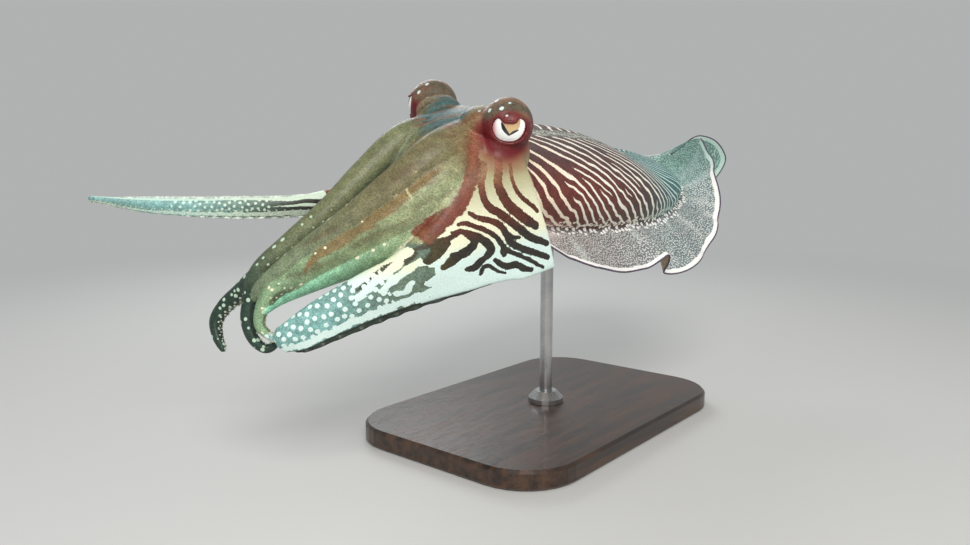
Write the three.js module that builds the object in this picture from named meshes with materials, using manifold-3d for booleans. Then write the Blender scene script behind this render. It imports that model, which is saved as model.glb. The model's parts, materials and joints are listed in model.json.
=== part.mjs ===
// A life-size common cuttlefish, Sepia officinalis, swimming on a display stand.
// Millimetres, +Z up. The stand's underside is centred on the origin. The animal
// looks along -X with its left side to -Y, and banks and pitches as it swims.
import * as THREE from "three";
import { mergeVertices } from "three/addons/utils/BufferGeometryUtils.js";
import Module from "manifold-3d";

const wasm = await Module();
wasm.setup();
const { clamp, degToRad, lerp, smoothstep } = THREE.MathUtils;

// Gap that neighbouring pieces keep, and how far joined surfaces may move when
// slivers are taken out.
const GAP = 0.3;
const SIMPLIFY_WITHIN = 0.12;

// Mantle, measured along its own axis from the collar to the tail.
const MANTLE_LENGTH = 292;
const MANTLE_HALF_WIDTH = 68;
const MANTLE_DORSAL_HEIGHT = 31;
const MANTLE_VENTRAL_DEPTH = 42;
const WIDEST_AT = 0.4;
const COLLAR_SHARE = 0.84;
const COLLAR_WALL = 5;
const COLLAR_RECESS = 24;
const NUCHAL_TIP = 6;
const VENTRAL_NOTCH = 9;
const COLLAR_FADE = 55;
const DORSAL_DIP = 0.3;
const DORSAL_DIP_AT = 0.7;
const DORSAL_DIP_REACH = 0.14;
const MANTLE_SIDES = 26;

// Fins, along the mantle's sides. Their root climbs from the front to the tail.
const FIN_START = 9;
const FIN_END = 289;
const FIN_WIDTH = 40;
const FIN_ROOT_SINK = 10;
const FIN_ROOT_THICKNESS = 5;
const FIN_EDGE_THICKNESS = 1.2;
const FIN_ROOT_ANGLES = [degToRad(-42), degToRad(-13)];
const FIN_STATIONS = 34;
const FIN_STRIPS = 4;
const FIN_BEND = 0.55;

// Head, measured forward, left and up from its own centre.
const EYE_FORWARD = 22;
const EYE_SIDE = 41;
const EYE_UP = 27;
const EYE_RADIUS = 13;
const EYE_STANDOFF = 5.5;
const GAZE_FORWARD = degToRad(35);
const BULGE_RADII = [19, 15.5, 17.5];
const LID_RADIUS = 11;
const LID_THICKNESS = 2.2;
const LID_AHEAD = 8;
const HEAD_SIDES = 22;

// Funnel under the head.
const FUNNEL_WALL = 3;
const FUNNEL_SIDES = 14;

// Arms.
const ARM_SIDES = 10;
const ARM_STEP = 13;
const ARM_SPLIT = 0.62;
const CURL_FROM = 0.68;
const CURL_FULL = 0.86;

// Suckers, in two rows that begin past the mouth and run out to the tip.
const SUCKER_SIDES = 5;
const SUCKER_ROWS_FROM = 0.42;
const SUCKER_PAIRS = 8;
const SUCKER_SIZES = [2.3, 0.9];
const SUCKER_SPLAY = 0.35;
const SUCKER_VARIATION = 0.1;
const SUCKER_SEED = 41;
const SUCKER_CLEAR_OF_SPLIT = 0.018;

// How the animal lies in the water, and how it carries its head.
const BANK = degToRad(21.6);
const PITCH = degToRad(2);
const HEAD_TURN = degToRad(5);
const HEAD_DROOP = degToRad(17);
const HEAD_LEVELLING = degToRad(9);
const HEAD_AT = new THREE.Vector3(10.5, -6.9, 16.9);
const NECK_AT = new THREE.Vector3(-95, 0, 200);

// Stand.
const BASE_LENGTH = 270;
const BASE_WIDTH = 180;
const BASE_THICKNESS = 14;
const BASE_CORNER = 40;
const BASE_BEVEL = 2;
const ROD_RADIUS = 5;
const SOCKET_RADIUS = 14;
const SOCKET_HEIGHT = 9;

// A closed three.js geometry as a manifold solid.
function solid(geometry) {
  const bare = geometry.clone();
  bare.deleteAttribute("normal");
  bare.deleteAttribute("uv");
  const merged = mergeVertices(bare, 1e-4);
  return new wasm.Manifold(
    new wasm.Mesh({
      numProp: 3,
      vertProperties: new Float32Array(merged.attributes.position.array),
      triVerts: new Uint32Array(merged.index.array),
    }),
  );
}

// The largest closed surface of a solid.
function largest(made) {
  return made.decompose().reduce((a, b) => (a.volume() > b.volume() ? a : b));
}

function geometryOf(made) {
  const mesh = made.getMesh();
  const geometry = new THREE.BufferGeometry();
  geometry.setAttribute("position", new THREE.BufferAttribute(new Float32Array(mesh.vertProperties), 3));
  geometry.setIndex(new THREE.BufferAttribute(new Uint32Array(mesh.triVerts), 1));
  geometry.computeVertexNormals();
  return geometry;
}

// A closed surface from points and triangles, turned so that it faces out.
function closed(points, index) {
  const geometry = new THREE.BufferGeometry().setFromPoints(points);
  geometry.setIndex(index);
  const made = solid(geometry);
  if (made.volume() > 0) return made;
  const turned = index.map((_, i) => index[i % 3 === 0 ? i : i + (i % 3 === 1 ? 1 : -1)]);
  geometry.setIndex(turned);
  return solid(geometry);
}

// Skins a row of rings, each with the same number of points, and closes both
// ends with a fan to a pole.
function loft(rings, firstPole, lastPole) {
  const sides = rings[0].length;
  const index = [];
  for (let i = 0; i + 1 < rings.length; i++) {
    for (let j = 0; j < sides; j++) {
      const a = i * sides + j;
      const b = i * sides + ((j + 1) % sides);
      index.push(a, b, a + sides, b, b + sides, a + sides);
    }
  }
  const first = rings.length * sides;
  const lastRing = first - sides;
  for (let j = 0; j < sides; j++) {
    const k = (j + 1) % sides;
    index.push(first, k, j);
    index.push(first + 1, lastRing + j, lastRing + k);
  }
  return closed([...rings.flat(), firstPole, lastPole], index);
}

// A point of a rounded section: half width, height above and depth below.
function roundedPoint(angle, halfWidth, above, below, squareness = 1) {
  const power = (v) => Math.sign(v) * Math.abs(v) ** squareness;
  const s = power(Math.sin(angle));
  return [halfWidth * power(Math.cos(angle)), s > 0 ? above * s : below * s];
}

// A value read off a list of [position, value] pairs, eased between them.
function along(pairs, position) {
  const i = pairs.findIndex(([at]) => at > position);
  if (i === 0) return pairs[0][1];
  if (i < 0) return pairs.at(-1)[1];
  const [from, a] = pairs[i - 1];
  const [to, b] = pairs[i];
  return lerp(a, b, smoothstep(position, from, to));
}

// The mantle's half width, height and depth at a share of its length.
function mantleSection(share) {
  const t = clamp(share, 0, 1);
  const fore = COLLAR_SHARE + (1 - COLLAR_SHARE) * Math.sin((Math.PI / 2) * (t / WIDEST_AT));
  const aft = (1 - Math.max(0, (t - WIDEST_AT) / (1 - WIDEST_AT)) ** 2.3) ** 0.62;
  const size = t < WIDEST_AT ? fore : aft;
  const dip = 1 - DORSAL_DIP * Math.exp(-(((t - DORSAL_DIP_AT) / DORSAL_DIP_REACH) ** 2));
  return {
    width: MANTLE_HALF_WIDTH * size,
    above: MANTLE_DORSAL_HEIGHT * size * dip,
    below: MANTLE_VENTRAL_DEPTH * size,
  };
}

// How far the collar's edge lies back from the neck, by angle.
function collarShift(angle) {
  const s = Math.sin(angle);
  return s > 0 ? -NUCHAL_TIP * s ** 5 : VENTRAL_NOTCH * s * s;
}

// One ring of the mantle's skin, drawn in by inset.
function mantleRing(back, inset) {
  const { width, above, below } = mantleSection(back / MANTLE_LENGTH);
  const fade = 1 - smoothstep(back, 0, COLLAR_FADE);
  return Array.from({ length: MANTLE_SIDES }, (_, j) => {
    const angle = (2 * Math.PI * j) / MANTLE_SIDES;
    const [left, up] = roundedPoint(angle, width - inset, above - inset, below - inset, 0.93);
    return new THREE.Vector3(back + collarShift(angle) * fade, -left, up);
  });
}

// The torso: a closed sac whose collar stands round the neck.
function mantle(grow = 0) {
  const floor = COLLAR_RECESS - grow;
  const wall = COLLAR_WALL + grow;
  const rings = [
    mantleRing(floor, wall + 9),
    mantleRing(floor, wall + 2),
    mantleRing(12, wall),
    mantleRing(4, wall),
    mantleRing(-grow, COLLAR_WALL / 2),
    mantleRing(1 - grow, 1 - grow),
  ];
  for (const back of [5, 15, 30, 50, 75, 100, 130, 160, 190, 215, 238, 258, 274, 286, 294, 298.5]) {
    rings.push(mantleRing(back, -grow));
  }
  return loft(rings, new THREE.Vector3(floor, 0, 0), new THREE.Vector3(MANTLE_LENGTH + grow, 0, 0));
}

const SIDES = { left: 1, right: -1 };

// Tilt of each fin above the level, in degrees, by distance back from the collar.
const FIN_WAVES = {
  left: [
    [9, -4], [50, -14], [105, -27], [126, -27], [143, -11], [161, -40], [200, -20], [232, 4], [255, 31], [270, 54],
    [289, 74],
  ],
  right: [
    [9, -30], [60, -22], [105, -44], [150, -42], [185, -30], [210, -28], [236, -12], [255, 15], [268, 30], [279, 45],
    [283, 37], [286, 23], [289, 3],
  ],
};

// How far each fin is swept back, in degrees, by distance back from the collar.
const FIN_SWEEPS = {
  left: [[9, 0], [270, 0], [289, -20]],
  right: [[9, 0], [225, 0], [255, 62], [268, 85], [279, 86], [285, 78], [289, 69]],
};

// Share of the full fin width, by distance back from the collar.
const FIN_FRONT_OUTLINE = [[9, 0.12], [20, 0.5], [38, 0.85], [60, 1.03], [140, 1]];
const FIN_OUTLINES = {
  left: [...FIN_FRONT_OUTLINE, [185, 1.28], [215, 1.13], [240, 0.99], [262, 0.96], [280, 1.13], [289, 1.25]],
  right: [
    ...FIN_FRONT_OUTLINE, [185, 1.14], [215, 1.05], [236, 1.15], [255, 1.38], [268, 1.34], [279, 1.81], [284, 2.03],
    [289, 2.1],
  ],
};

// The fin's root on the mantle and the level direction that it grows in.
function finRoot(back, side) {
  const sign = SIDES[side];
  const at = (s) => {
    const { width, below } = mantleSection(s / MANTLE_LENGTH);
    const angle = lerp(...FIN_ROOT_ANGLES, s / MANTLE_LENGTH);
    return new THREE.Vector3(s, -sign * width * Math.cos(angle), below * Math.sin(angle));
  };
  const here = at(back);
  const tangent = at(Math.min(back + 1, MANTLE_LENGTH - 0.5)).sub(at(back - 1));
  return { here, out: new THREE.Vector3(tangent.y * sign, -tangent.x * sign, 0).normalize() };
}

// The fin's mid surface: back from the collar, and 0 at the root to 1 at the edge.
function finPoint(back, reach, side) {
  const { here, out } = finRoot(back, side);
  const bend = FIN_BEND + (1 - FIN_BEND) * Math.max(0, reach);
  const tilt = degToRad(along(FIN_WAVES[side], back)) * bend;
  const sweep = reach > 0 ? degToRad(along(FIN_SWEEPS[side], back)) * bend * SIDES[side] : 0;
  const flat = reach < 0 ? FIN_ROOT_SINK * reach : FIN_WIDTH * along(FIN_OUTLINES[side], back) * reach;
  out.applyAxisAngle(new THREE.Vector3(0, 0, 1), sweep);
  return here.clone().addScaledVector(out, flat * Math.cos(tilt)).add(new THREE.Vector3(0, 0, flat * Math.sin(tilt)));
}

// A length of fin as a thin closed sheet, thickened along its normal.
function finLength(side, from, to) {
  const columns = FIN_STRIPS + 2;
  const reaches = [-1, ...Array.from({ length: columns - 1 }, (_, j) => j / FIN_STRIPS)];
  const steps = Math.round((FIN_STATIONS * (to - from)) / (FIN_END - FIN_START));
  const top = [];
  const bottom = [];
  for (let i = 0; i <= steps; i++) {
    const back = lerp(from, to, i / steps);
    reaches.forEach((reach) => {
      const here = finPoint(back, reach, side);
      const lengthwise = finPoint(back + 1, reach, side).sub(finPoint(back - 1, reach, side));
      const outwards = finPoint(back, reach + 0.05, side).sub(finPoint(back, reach - 0.05, side));
      const normal = lengthwise.cross(outwards).normalize();
      const half = lerp(FIN_ROOT_THICKNESS, FIN_EDGE_THICKNESS, Math.max(0, reach) ** 0.7) / 2;
      top.push(here.clone().addScaledVector(normal, half));
      bottom.push(here.clone().addScaledVector(normal, -half));
    });
  }
  return sheet(top, bottom, columns);
}

// Closes two like grids of points into one thin body, split alike on both faces.
function sheet(top, bottom, columns) {
  const rows = top.length / columns;
  const under = top.length;
  const index = [];
  const quad = (a, b, c, d) => index.push(a, b, c, a, c, d);
  for (let i = 0; i + 1 < rows; i++) {
    for (let j = 0; j + 1 < columns; j++) {
      const a = i * columns + j;
      quad(a, a + 1, a + columns + 1, a + columns);
      index.push(under + a, under + a + columns + 1, under + a + 1);
      index.push(under + a, under + a + columns, under + a + columns + 1);
    }
    const left = i * columns;
    const right = left + columns - 1;
    quad(left, left + columns, under + left + columns, under + left);
    quad(right, under + right, under + right + columns, right + columns);
  }
  for (let j = 0; j + 1 < columns; j++) {
    const last = (rows - 1) * columns + j;
    quad(j, under + j, under + j + 1, j + 1);
    quad(last, last + 1, under + last + 1, under + last);
  }
  return closed([...top, ...bottom], index);
}

// The head's frame, held in the body's.
const headFrame = new THREE.Matrix4()
  .makeRotationZ(-HEAD_TURN)
  .multiply(new THREE.Matrix4().makeRotationY(-HEAD_DROOP))
  .multiply(new THREE.Matrix4().makeRotationX(-HEAD_LEVELLING))
  .setPosition(HEAD_AT);

function headPoint(forward, left, up) {
  return new THREE.Vector3(-forward, -left, up).applyMatrix4(headFrame);
}

function headDirection(forward, left, up) {
  return new THREE.Vector3(-forward, -left, up).transformDirection(headFrame);
}

// Neck stations in the body's frame: back of the collar, forward lean of the
// ring, half width, height above and depth below.
const NECK_STATIONS = [
  [32, 0, 47, 16, 26],
  [17, 0, 48, 17, 27],
  [8, 14, 48, 20, 27],
];

// Head stations: forward, half width, height above, depth below.
const HEAD_STATIONS = [
  [14, 44, 30, 38],
  [28, 45, 32, 42],
  [44, 42, 30, 42],
  [58, 36, 25, 38],
  [70, 27, 17, 30],
  [78, 14, 8, 18],
];
const HEAD_NOSE = 80;

function neckRing([back, lean, width, above, below], grow) {
  const tilt = degToRad(lean);
  return Array.from({ length: HEAD_SIDES }, (_, j) => {
    const angle = (2 * Math.PI * j) / HEAD_SIDES;
    const [left, up] = roundedPoint(angle, width + grow, above + grow, below + grow, 0.9);
    return new THREE.Vector3(back - up * Math.sin(tilt), -left, up * Math.cos(tilt));
  });
}

function headRing([forward, width, above, below], grow) {
  return Array.from({ length: HEAD_SIDES }, (_, j) => {
    const angle = (2 * Math.PI * j) / HEAD_SIDES;
    const [left, up] = roundedPoint(angle, width + grow, above + grow, below + grow, 0.9);
    return headPoint(forward + grow, left, up);
  });
}

function headCore(grow) {
  const rings = [
    ...NECK_STATIONS.map((station) => neckRing(station, grow)),
    ...HEAD_STATIONS.map((station) => headRing(station, grow)),
  ];
  const back = new THREE.Vector3(NECK_STATIONS[0][0], 0, -5);
  return loft(rings, back, headPoint(HEAD_NOSE + grow, 0, -4));
}

// An ellipsoid in the head's frame, its radii forward, sideways and up.
function headBall(centre, radii, meridians = 14) {
  const ball = new THREE.SphereGeometry(1, meridians, Math.round(meridians * 0.6));
  ball.scale(...radii);
  ball.translate(-centre[0], -centre[1], centre[2]);
  return solid(ball.applyMatrix4(headFrame));
}

// A point ahead of the eye's centre along its gaze.
function alongGaze(side, ahead) {
  const forward = EYE_FORWARD + ahead * Math.sin(GAZE_FORWARD);
  return [forward, SIDES[side] * (EYE_SIDE + ahead * Math.cos(GAZE_FORWARD)), EYE_UP];
}

function eyeBall(side, grow = 0) {
  const radius = EYE_RADIUS + grow;
  return headBall(alongGaze(side, 0), [radius, radius, radius]);
}

// The bulge that holds each eye.
function eyeBulge(side, grow) {
  return headBall(alongGaze(side, -EYE_STANDOFF), BULGE_RADII.map((radius) => radius + grow));
}

// The rolled lid round each eye.
function lid(side, grow) {
  const ring = new THREE.TorusGeometry(LID_RADIUS, LID_THICKNESS + grow, 5, 14);
  ring.rotateX(Math.PI / 2);
  ring.scale(1.1, 1, 0.95);
  ring.rotateZ(-SIDES[side] * GAZE_FORWARD);
  const [forward, left, up] = alongGaze(side, LID_AHEAD);
  ring.translate(-forward, -left, up);
  return solid(ring.applyMatrix4(headFrame));
}

// The cheeks that the fourth arms grow from.
const CHEEKS = {
  left: [[34, 47, -27], [19, 14, 25]],
  right: [[45, -44, -24], [18, 13, 22]],
};

function head(grow = 0) {
  let made = headCore(grow);
  for (const side of Object.keys(SIDES)) {
    const [centre, radii] = CHEEKS[side];
    const cheek = headBall(centre, radii.map((radius) => radius + grow), 10);
    made = made.add(cheek).add(eyeBulge(side, grow)).add(lid(side, grow));
  }
  return made;
}

// Funnel stations in the body's frame: forward of the collar, up, half width, half height.
const FUNNEL_STATIONS = [
  [-30, -23, 26, 10],
  [-12, -25, 26, 11],
  [8, -31, 23, 12],
  [26, -40, 18, 11],
  [44, -50, 13, 10],
  [60, -59, 10, 9],
];

function funnelRing([forward, up, wide, high], grow) {
  return Array.from({ length: FUNNEL_SIDES }, (_, j) => {
    const angle = (2 * Math.PI * j) / FUNNEL_SIDES;
    const [left, rise] = roundedPoint(angle, wide + grow, high + grow, high + grow);
    return new THREE.Vector3(-forward, -left, up + rise);
  });
}

// The funnel: a tapering tube, open at its mouth.
function funnel(grow = 0) {
  const outer = FUNNEL_STATIONS.map((station) => funnelRing(station, grow));
  const inner = grow > 0 ? [] : FUNNEL_STATIONS.slice(-3).reverse().map((s) => funnelRing(s, -FUNNEL_WALL));
  const [backAt, backUp] = FUNNEL_STATIONS[0];
  const [mouthAt, mouthUp] = FUNNEL_STATIONS.at(grow > 0 ? -1 : -3);
  return loft([...outer, ...inner], new THREE.Vector3(-backAt, 0, backUp), new THREE.Vector3(-mouthAt, 0, mouthUp));
}

// The line that the bundle of arms follows: forward, left and up from the neck.
const BUNDLE = [[30, 4, -2], [62, 4, -10], [90, 0, -23], [117, -6, -35], [143, -13, -46], [165, -19, -57]];

// How far each arm keeps from that line at its points.
const SPREAD = [22, 30, 27, 20, 15, 11];

// The six arms of the bundle: angle round it from the back of the head, the
// rest of the route, the point that a curled tip winds round, and half sizes at
// root and tip.
const BUNDLE_ARMS = {
  arm_left_1: { azimuth: 35, tip: [[175, -22, -62]], wide: [15, 2.8], thick: [13, 2.6] },
  arm_left_2: {
    azimuth: 70,
    tip: [[173, -8, -60], [178, -5, -70], [175, 2, -77]],
    curlRound: [166, -1, -68],
    wide: [16, 2.6], thick: [13, 2.4],
  },
  arm_left_3: { azimuth: 106, tip: [[174, -3, -61]], wide: [18, 2], thick: [13, 2] },
  arm_right_1: {
    azimuth: -35,
    tip: [[173, -23, -61], [179, -19, -72], [180, -12, -82], [176, -6, -87], [171, -4, -84], [172, -7, -79]],
    curlRound: [173, -12, -77],
    wide: [15, 1.8], thick: [13, 1.8],
  },
  arm_right_2: {
    azimuth: -70,
    tip: [[172, -37, -62], [181, -44, -71], [188, -46, -80], [191, -40, -88], [192, -33, -92]],
    curlRound: [180, -30, -82],
    wide: [16, 2.4], thick: [13, 2.4],
  },
  arm_right_3: { azimuth: -106, tip: [[172, -36, -66]], wide: [18, 3], thick: [13, 3] },
};

function bundleRoute({ azimuth, tip }) {
  const angle = degToRad(azimuth);
  const near = BUNDLE.map(([forward, left, up], i) =>
    headPoint(forward, left + SPREAD[i] * Math.sin(angle), up + SPREAD[i] * Math.cos(angle)),
  );
  return new THREE.CatmullRomCurve3([...near, ...tip.map((p) => headPoint(...p))]);
}

// The frame of an arm of the bundle at a share of its length: its centre, the
// ways ahead, out and across, and its half sizes.
function bundleStation(spec, curve, u) {
  const angle = degToRad(spec.azimuth);
  const outward = headDirection(0, Math.sin(angle), Math.cos(angle));
  const at = curve.getPointAt(u);
  const ahead = curve.getTangentAt(u);
  if (spec.curlRound) {
    const curled = at.clone().sub(headPoint(...spec.curlRound)).normalize();
    outward.lerp(curled, smoothstep(u, CURL_FROM, CURL_FULL)).normalize();
  }
  const out = outward.addScaledVector(ahead, -outward.dot(ahead)).normalize();
  const across = new THREE.Vector3().crossVectors(ahead, out);
  const taper = (1 - u) ** 0.75;
  return { at, ahead, out, across, wide: lerp(spec.wide[1], spec.wide[0], taper), thick: lerp(spec.thick[1], spec.thick[0], taper) };
}

// An arm of the bundle between two shares of its length, rounded outside and
// flatter on the side of its suckers.
function bundleArm(spec, grow = 0, from = 0, to = 1) {
  const curve = bundleRoute(spec);
  const steps = Math.max(3, Math.round((curve.getLength() * (to - from)) / ARM_STEP));
  const rings = [];
  for (let i = 0; i <= steps; i++) {
    const { at, out, across, wide, thick } = bundleStation(spec, curve, lerp(from, to, i / steps));
    rings.push(
      Array.from({ length: ARM_SIDES }, (_, j) => {
        const angle = (2 * Math.PI * j) / ARM_SIDES;
        const [b, a] = roundedPoint(angle, wide + grow, thick + grow, thick * 0.8 + grow, 0.85);
        return at.clone().addScaledVector(across, b).addScaledVector(out, a);
      }),
    );
  }
  return loft(rings, curve.getPointAt(from), curve.getPointAt(to));
}

// A sucker: a short cup on the skin at a point, its mouth facing the way given.
function sucker(at, facing, radius, root, grow) {
  const height = radius * 0.9 + grow;
  const cup = new THREE.CylinderGeometry((radius + grow) * 0.92, radius + grow, height + root, SUCKER_SIDES);
  cup.translate(0, (height - root) / 2, 0);
  const turn = new THREE.Quaternion().setFromUnitVectors(new THREE.Vector3(0, 1, 0), facing);
  cup.applyQuaternion(turn);
  cup.translate(at.x, at.y, at.z);
  return solid(cup);
}

// A small seeded source of numbers between 0 and 1.
function seeded(seed) {
  let state = seed;
  return () => {
    state = (state * 16807) % 2147483647;
    return state / 2147483647;
  };
}

// Two rows of suckers; station gives the skin's point, the ways down onto it and
// across it, how far the rows stand apart and how deep the root may go.
function suckerRows(station, from, to, grow) {
  const random = seeded(SUCKER_SEED);
  const cups = [];
  for (let i = 0; i < 2 * SUCKER_PAIRS; i++) {
    const share = (i + 0.5) / (2 * SUCKER_PAIRS);
    const vary = 1 + SUCKER_VARIATION * (2 * random() - 1);
    const u = lerp(SUCKER_ROWS_FROM, 0.97, share ** 0.9);
    if (u < from || u > to || Math.abs(u - ARM_SPLIT) < SUCKER_CLEAR_OF_SPLIT) continue;
    const row = i % 2 === 0 ? 1 : -1;
    const { at, facing, across, apart, depth } = station(u);
    const radius = Math.min(lerp(...SUCKER_SIZES, share) * vary, apart * 1.1);
    const way = facing.clone().addScaledVector(across, row * SUCKER_SPLAY).normalize();
    cups.push(sucker(at.addScaledVector(across, row * apart), way, radius, depth, grow));
  }
  return cups;
}

function bundleSuckers(spec, grow = 0, from = 0, to = 1) {
  const curve = bundleRoute(spec);
  const station = (u) => {
    const { at, out, across, wide, thick } = bundleStation(spec, curve, u);
    const facing = out.clone().negate();
    return { at: at.addScaledVector(facing, thick * 0.72), facing, across, apart: wide * 0.36, depth: thick * 0.6 };
  };
  return suckerRows(station, from, to, grow);
}

// The two broad fourth arms: the edge that lies along the other arms, and the
// edge of the swimming keel.
const BROAD_ARMS = {
  arm_left_4: {
    edge: [[20, 54, 0], [50, 52, -4], [80, 44, -20], [105, 34, -33], [128, 24, -44], [150, 13, -56], [164, 7, -65], [171, 5, -69]],
    keel: [[12, 72, -60], [44, 67, -62], [72, 58, -62], [100, 46, -65], [124, 36, -70], [147, 26, -77], [163, 18, -83], [170, 12, -84]],
    thick: [9, 5],
    oral: -1,
    rowsAt: -0.35,
  },
  arm_right_4: {
    edge: [[36, -46, 0], [68, -56, -12], [105, -66, -20], [154, -88, -18], [197, -108, -12], [222, -120, -8]],
    keel: [[30, -56, -50], [66, -60, -48], [104, -62, -42], [154, -80, -34], [197, -102, -26], [224, -116, -15]],
    thick: [9, 3],
    oral: 1,
    rowsAt: 0.45,
  },
};

// The frame of a broad arm at a share of its length.
function broadStation(spec, u) {
  const edge = new THREE.CatmullRomCurve3(spec.edge.map((p) => headPoint(...p)));
  const keel = new THREE.CatmullRomCurve3(spec.keel.map((p) => headPoint(...p)));
  const middle = (v) => edge.getPoint(v).lerp(keel.getPoint(v), 0.5);
  const ahead = middle(Math.min(1, u + 0.01)).sub(middle(Math.max(0, u - 0.01))).normalize();
  const across = keel.getPoint(u).sub(edge.getPoint(u));
  const half = across.length() / 2;
  across.addScaledVector(ahead, -across.dot(ahead)).normalize();
  const out = new THREE.Vector3().crossVectors(ahead, across);
  return { at: middle(u), ahead, across, out, half, thick: lerp(spec.thick[0], spec.thick[1], u) };
}

function broadLength(spec) {
  return new THREE.CatmullRomCurve3(spec.edge.map((p) => headPoint(...p))).getLength();
}

// How a broad arm thins from its thick side to its keel, by share of the half width.
function keelThinning(share) {
  return 1 - 0.55 * smoothstep(share, -0.2, 1);
}

function broadArm(spec, grow = 0, from = 0, to = 1) {
  const steps = Math.max(3, Math.round((broadLength(spec) * (to - from)) / ARM_STEP));
  const rings = [];
  for (let i = 0; i <= steps; i++) {
    const { at, across, out, half, thick } = broadStation(spec, lerp(from, to, i / steps));
    rings.push(
      Array.from({ length: ARM_SIDES }, (_, j) => {
        const angle = (2 * Math.PI * j) / ARM_SIDES;
        const [b, a] = roundedPoint(angle, half + grow, thick + grow, thick + grow, 0.8);
        return at.clone().addScaledVector(across, b).addScaledVector(out, a * keelThinning(b / half));
      }),
    );
  }
  return loft(rings, broadStation(spec, from).at, broadStation(spec, to).at);
}

// Suckers of a broad arm stand on its inner face, towards its thick edge.
function broadSuckers(spec, grow = 0, from = 0, to = 1) {
  const station = (u) => {
    const { at, across, out, half, thick } = broadStation(spec, u);
    const facing = out.clone().multiplyScalar(spec.oral);
    at.addScaledVector(across, spec.rowsAt * half).addScaledVector(facing, thick * keelThinning(spec.rowsAt) * 0.8);
    return { at, facing, across, apart: half * 0.22, depth: thick * 0.5 };
  };
  return suckerRows(station, from, to, grow);
}

const STRIPED_SKIN = { color: 0x806a68, roughness: 0.55, metalness: 0 };
const HEAD_SKIN = { color: 0x8b7a5c, roughness: 0.55, metalness: 0 };
const ARM_SKIN = { color: 0x75764f, roughness: 0.55, metalness: 0 };
const PALE_ARM_SKIN = { color: 0xa3aea2, roughness: 0.55, metalness: 0 };
const FIN_SKIN = { color: 0x8f8c88, roughness: 0.5, metalness: 0 };
const FUNNEL_SKIN = { color: 0xb9a68c, roughness: 0.55, metalness: 0 };
const EYE = { color: 0xd8d0c0, roughness: 0.15, metalness: 0 };
const WOOD = { color: 0x4a3526, roughness: 0.5, metalness: 0 };
const STEEL = { color: 0x9a9c9e, roughness: 0.3, metalness: 1 };

const animal = new THREE.Group();
animal.rotation.set(BANK, PITCH, 0, "XYZ");
animal.position.copy(NECK_AT);
const stand = new THREE.Group();

function place(name, made, finish, group = animal) {
  const tidied = largest(made.simplify(SIMPLIFY_WITHIN));
  const mesh = new THREE.Mesh(geometryOf(tidied), new THREE.MeshStandardMaterial(finish));
  mesh.name = name;
  group.add(mesh);
}

function placeBody() {
  const mantleGrown = mantle(GAP);
  place("mantle", mantle(), STRIPED_SKIN);
  place("funnel", funnel().subtract(mantleGrown), FUNNEL_SKIN);
  let sockets = mantleGrown.add(funnel(GAP));
  for (const side of Object.keys(SIDES)) {
    sockets = sockets.add(eyeBall(side, GAP));
    place(`eye_${side}`, eyeBall(side), EYE);
  }
  place("head", head().subtract(sockets), HEAD_SKIN);
  return mantleGrown;
}

function placeFins(mantleGrown) {
  const cuts = [FIN_START, 100, 190, FIN_END];
  const names = ["front", "middle", "rear"];
  for (const side of Object.keys(SIDES)) {
    names.forEach((name, i) => {
      const from = cuts[i] + (i > 0 ? GAP / 2 : 0);
      const to = cuts[i + 1] - (i < 2 ? GAP / 2 : 0);
      place(`fin_${side}_${name}`, finLength(side, from, to).subtract(mantleGrown), FIN_SKIN);
    });
  }
}

// Places an arm in two lengths, cut clear of what is there, and returns it grown.
function placeArm(name, spec, arm, suckers, length, finish, taken) {
  const half = GAP / 2 / length;
  const lengths = { root: [0, ARM_SPLIT - half], tip: [ARM_SPLIT + half, 1] };
  const grown = [arm(spec, GAP), ...suckers(spec, GAP)];
  for (const [part, [from, to]] of Object.entries(lengths)) {
    const made = wasm.Manifold.union([arm(spec, 0, from, to), ...suckers(spec, 0, from, to)]);
    place(`${name}_${part}`, made.subtract(taken), finish);
    grown.push(arm(spec, GAP, from, to));
  }
  return wasm.Manifold.union(grown);
}

function placeArms(mantleGrown) {
  let taken = head(GAP).add(mantleGrown).add(funnel(GAP));
  for (const [name, spec] of Object.entries(BUNDLE_ARMS)) {
    const length = bundleRoute(spec).getLength();
    taken = taken.add(placeArm(name, spec, bundleArm, bundleSuckers, length, ARM_SKIN, taken));
  }
  for (const [name, spec] of Object.entries(BROAD_ARMS)) {
    taken = taken.add(placeArm(name, spec, broadArm, broadSuckers, broadLength(spec), PALE_ARM_SKIN, taken));
  }
}

function standBase() {
  const half = BASE_WIDTH / 2 - BASE_BEVEL;
  const reach = BASE_LENGTH / 2 - BASE_BEVEL;
  const outline = new THREE.Shape();
  outline.moveTo(-reach + BASE_CORNER, -half);
  outline.lineTo(reach - BASE_CORNER, -half);
  outline.absarc(reach - BASE_CORNER, -half + BASE_CORNER, BASE_CORNER, -Math.PI / 2, 0);
  outline.absarc(reach - BASE_CORNER, half - BASE_CORNER, BASE_CORNER, 0, Math.PI / 2);
  outline.absarc(-reach + BASE_CORNER, half - BASE_CORNER, BASE_CORNER, Math.PI / 2, Math.PI);
  outline.absarc(-reach + BASE_CORNER, -half + BASE_CORNER, BASE_CORNER, Math.PI, 1.5 * Math.PI);
  const board = new THREE.ExtrudeGeometry(outline, {
    depth: BASE_THICKNESS - 2 * BASE_BEVEL,
    bevelThickness: BASE_BEVEL,
    bevelSize: BASE_BEVEL,
    bevelSegments: 1,
    curveSegments: 4,
  });
  board.translate(0, 0, BASE_BEVEL);
  return solid(board);
}

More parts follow.
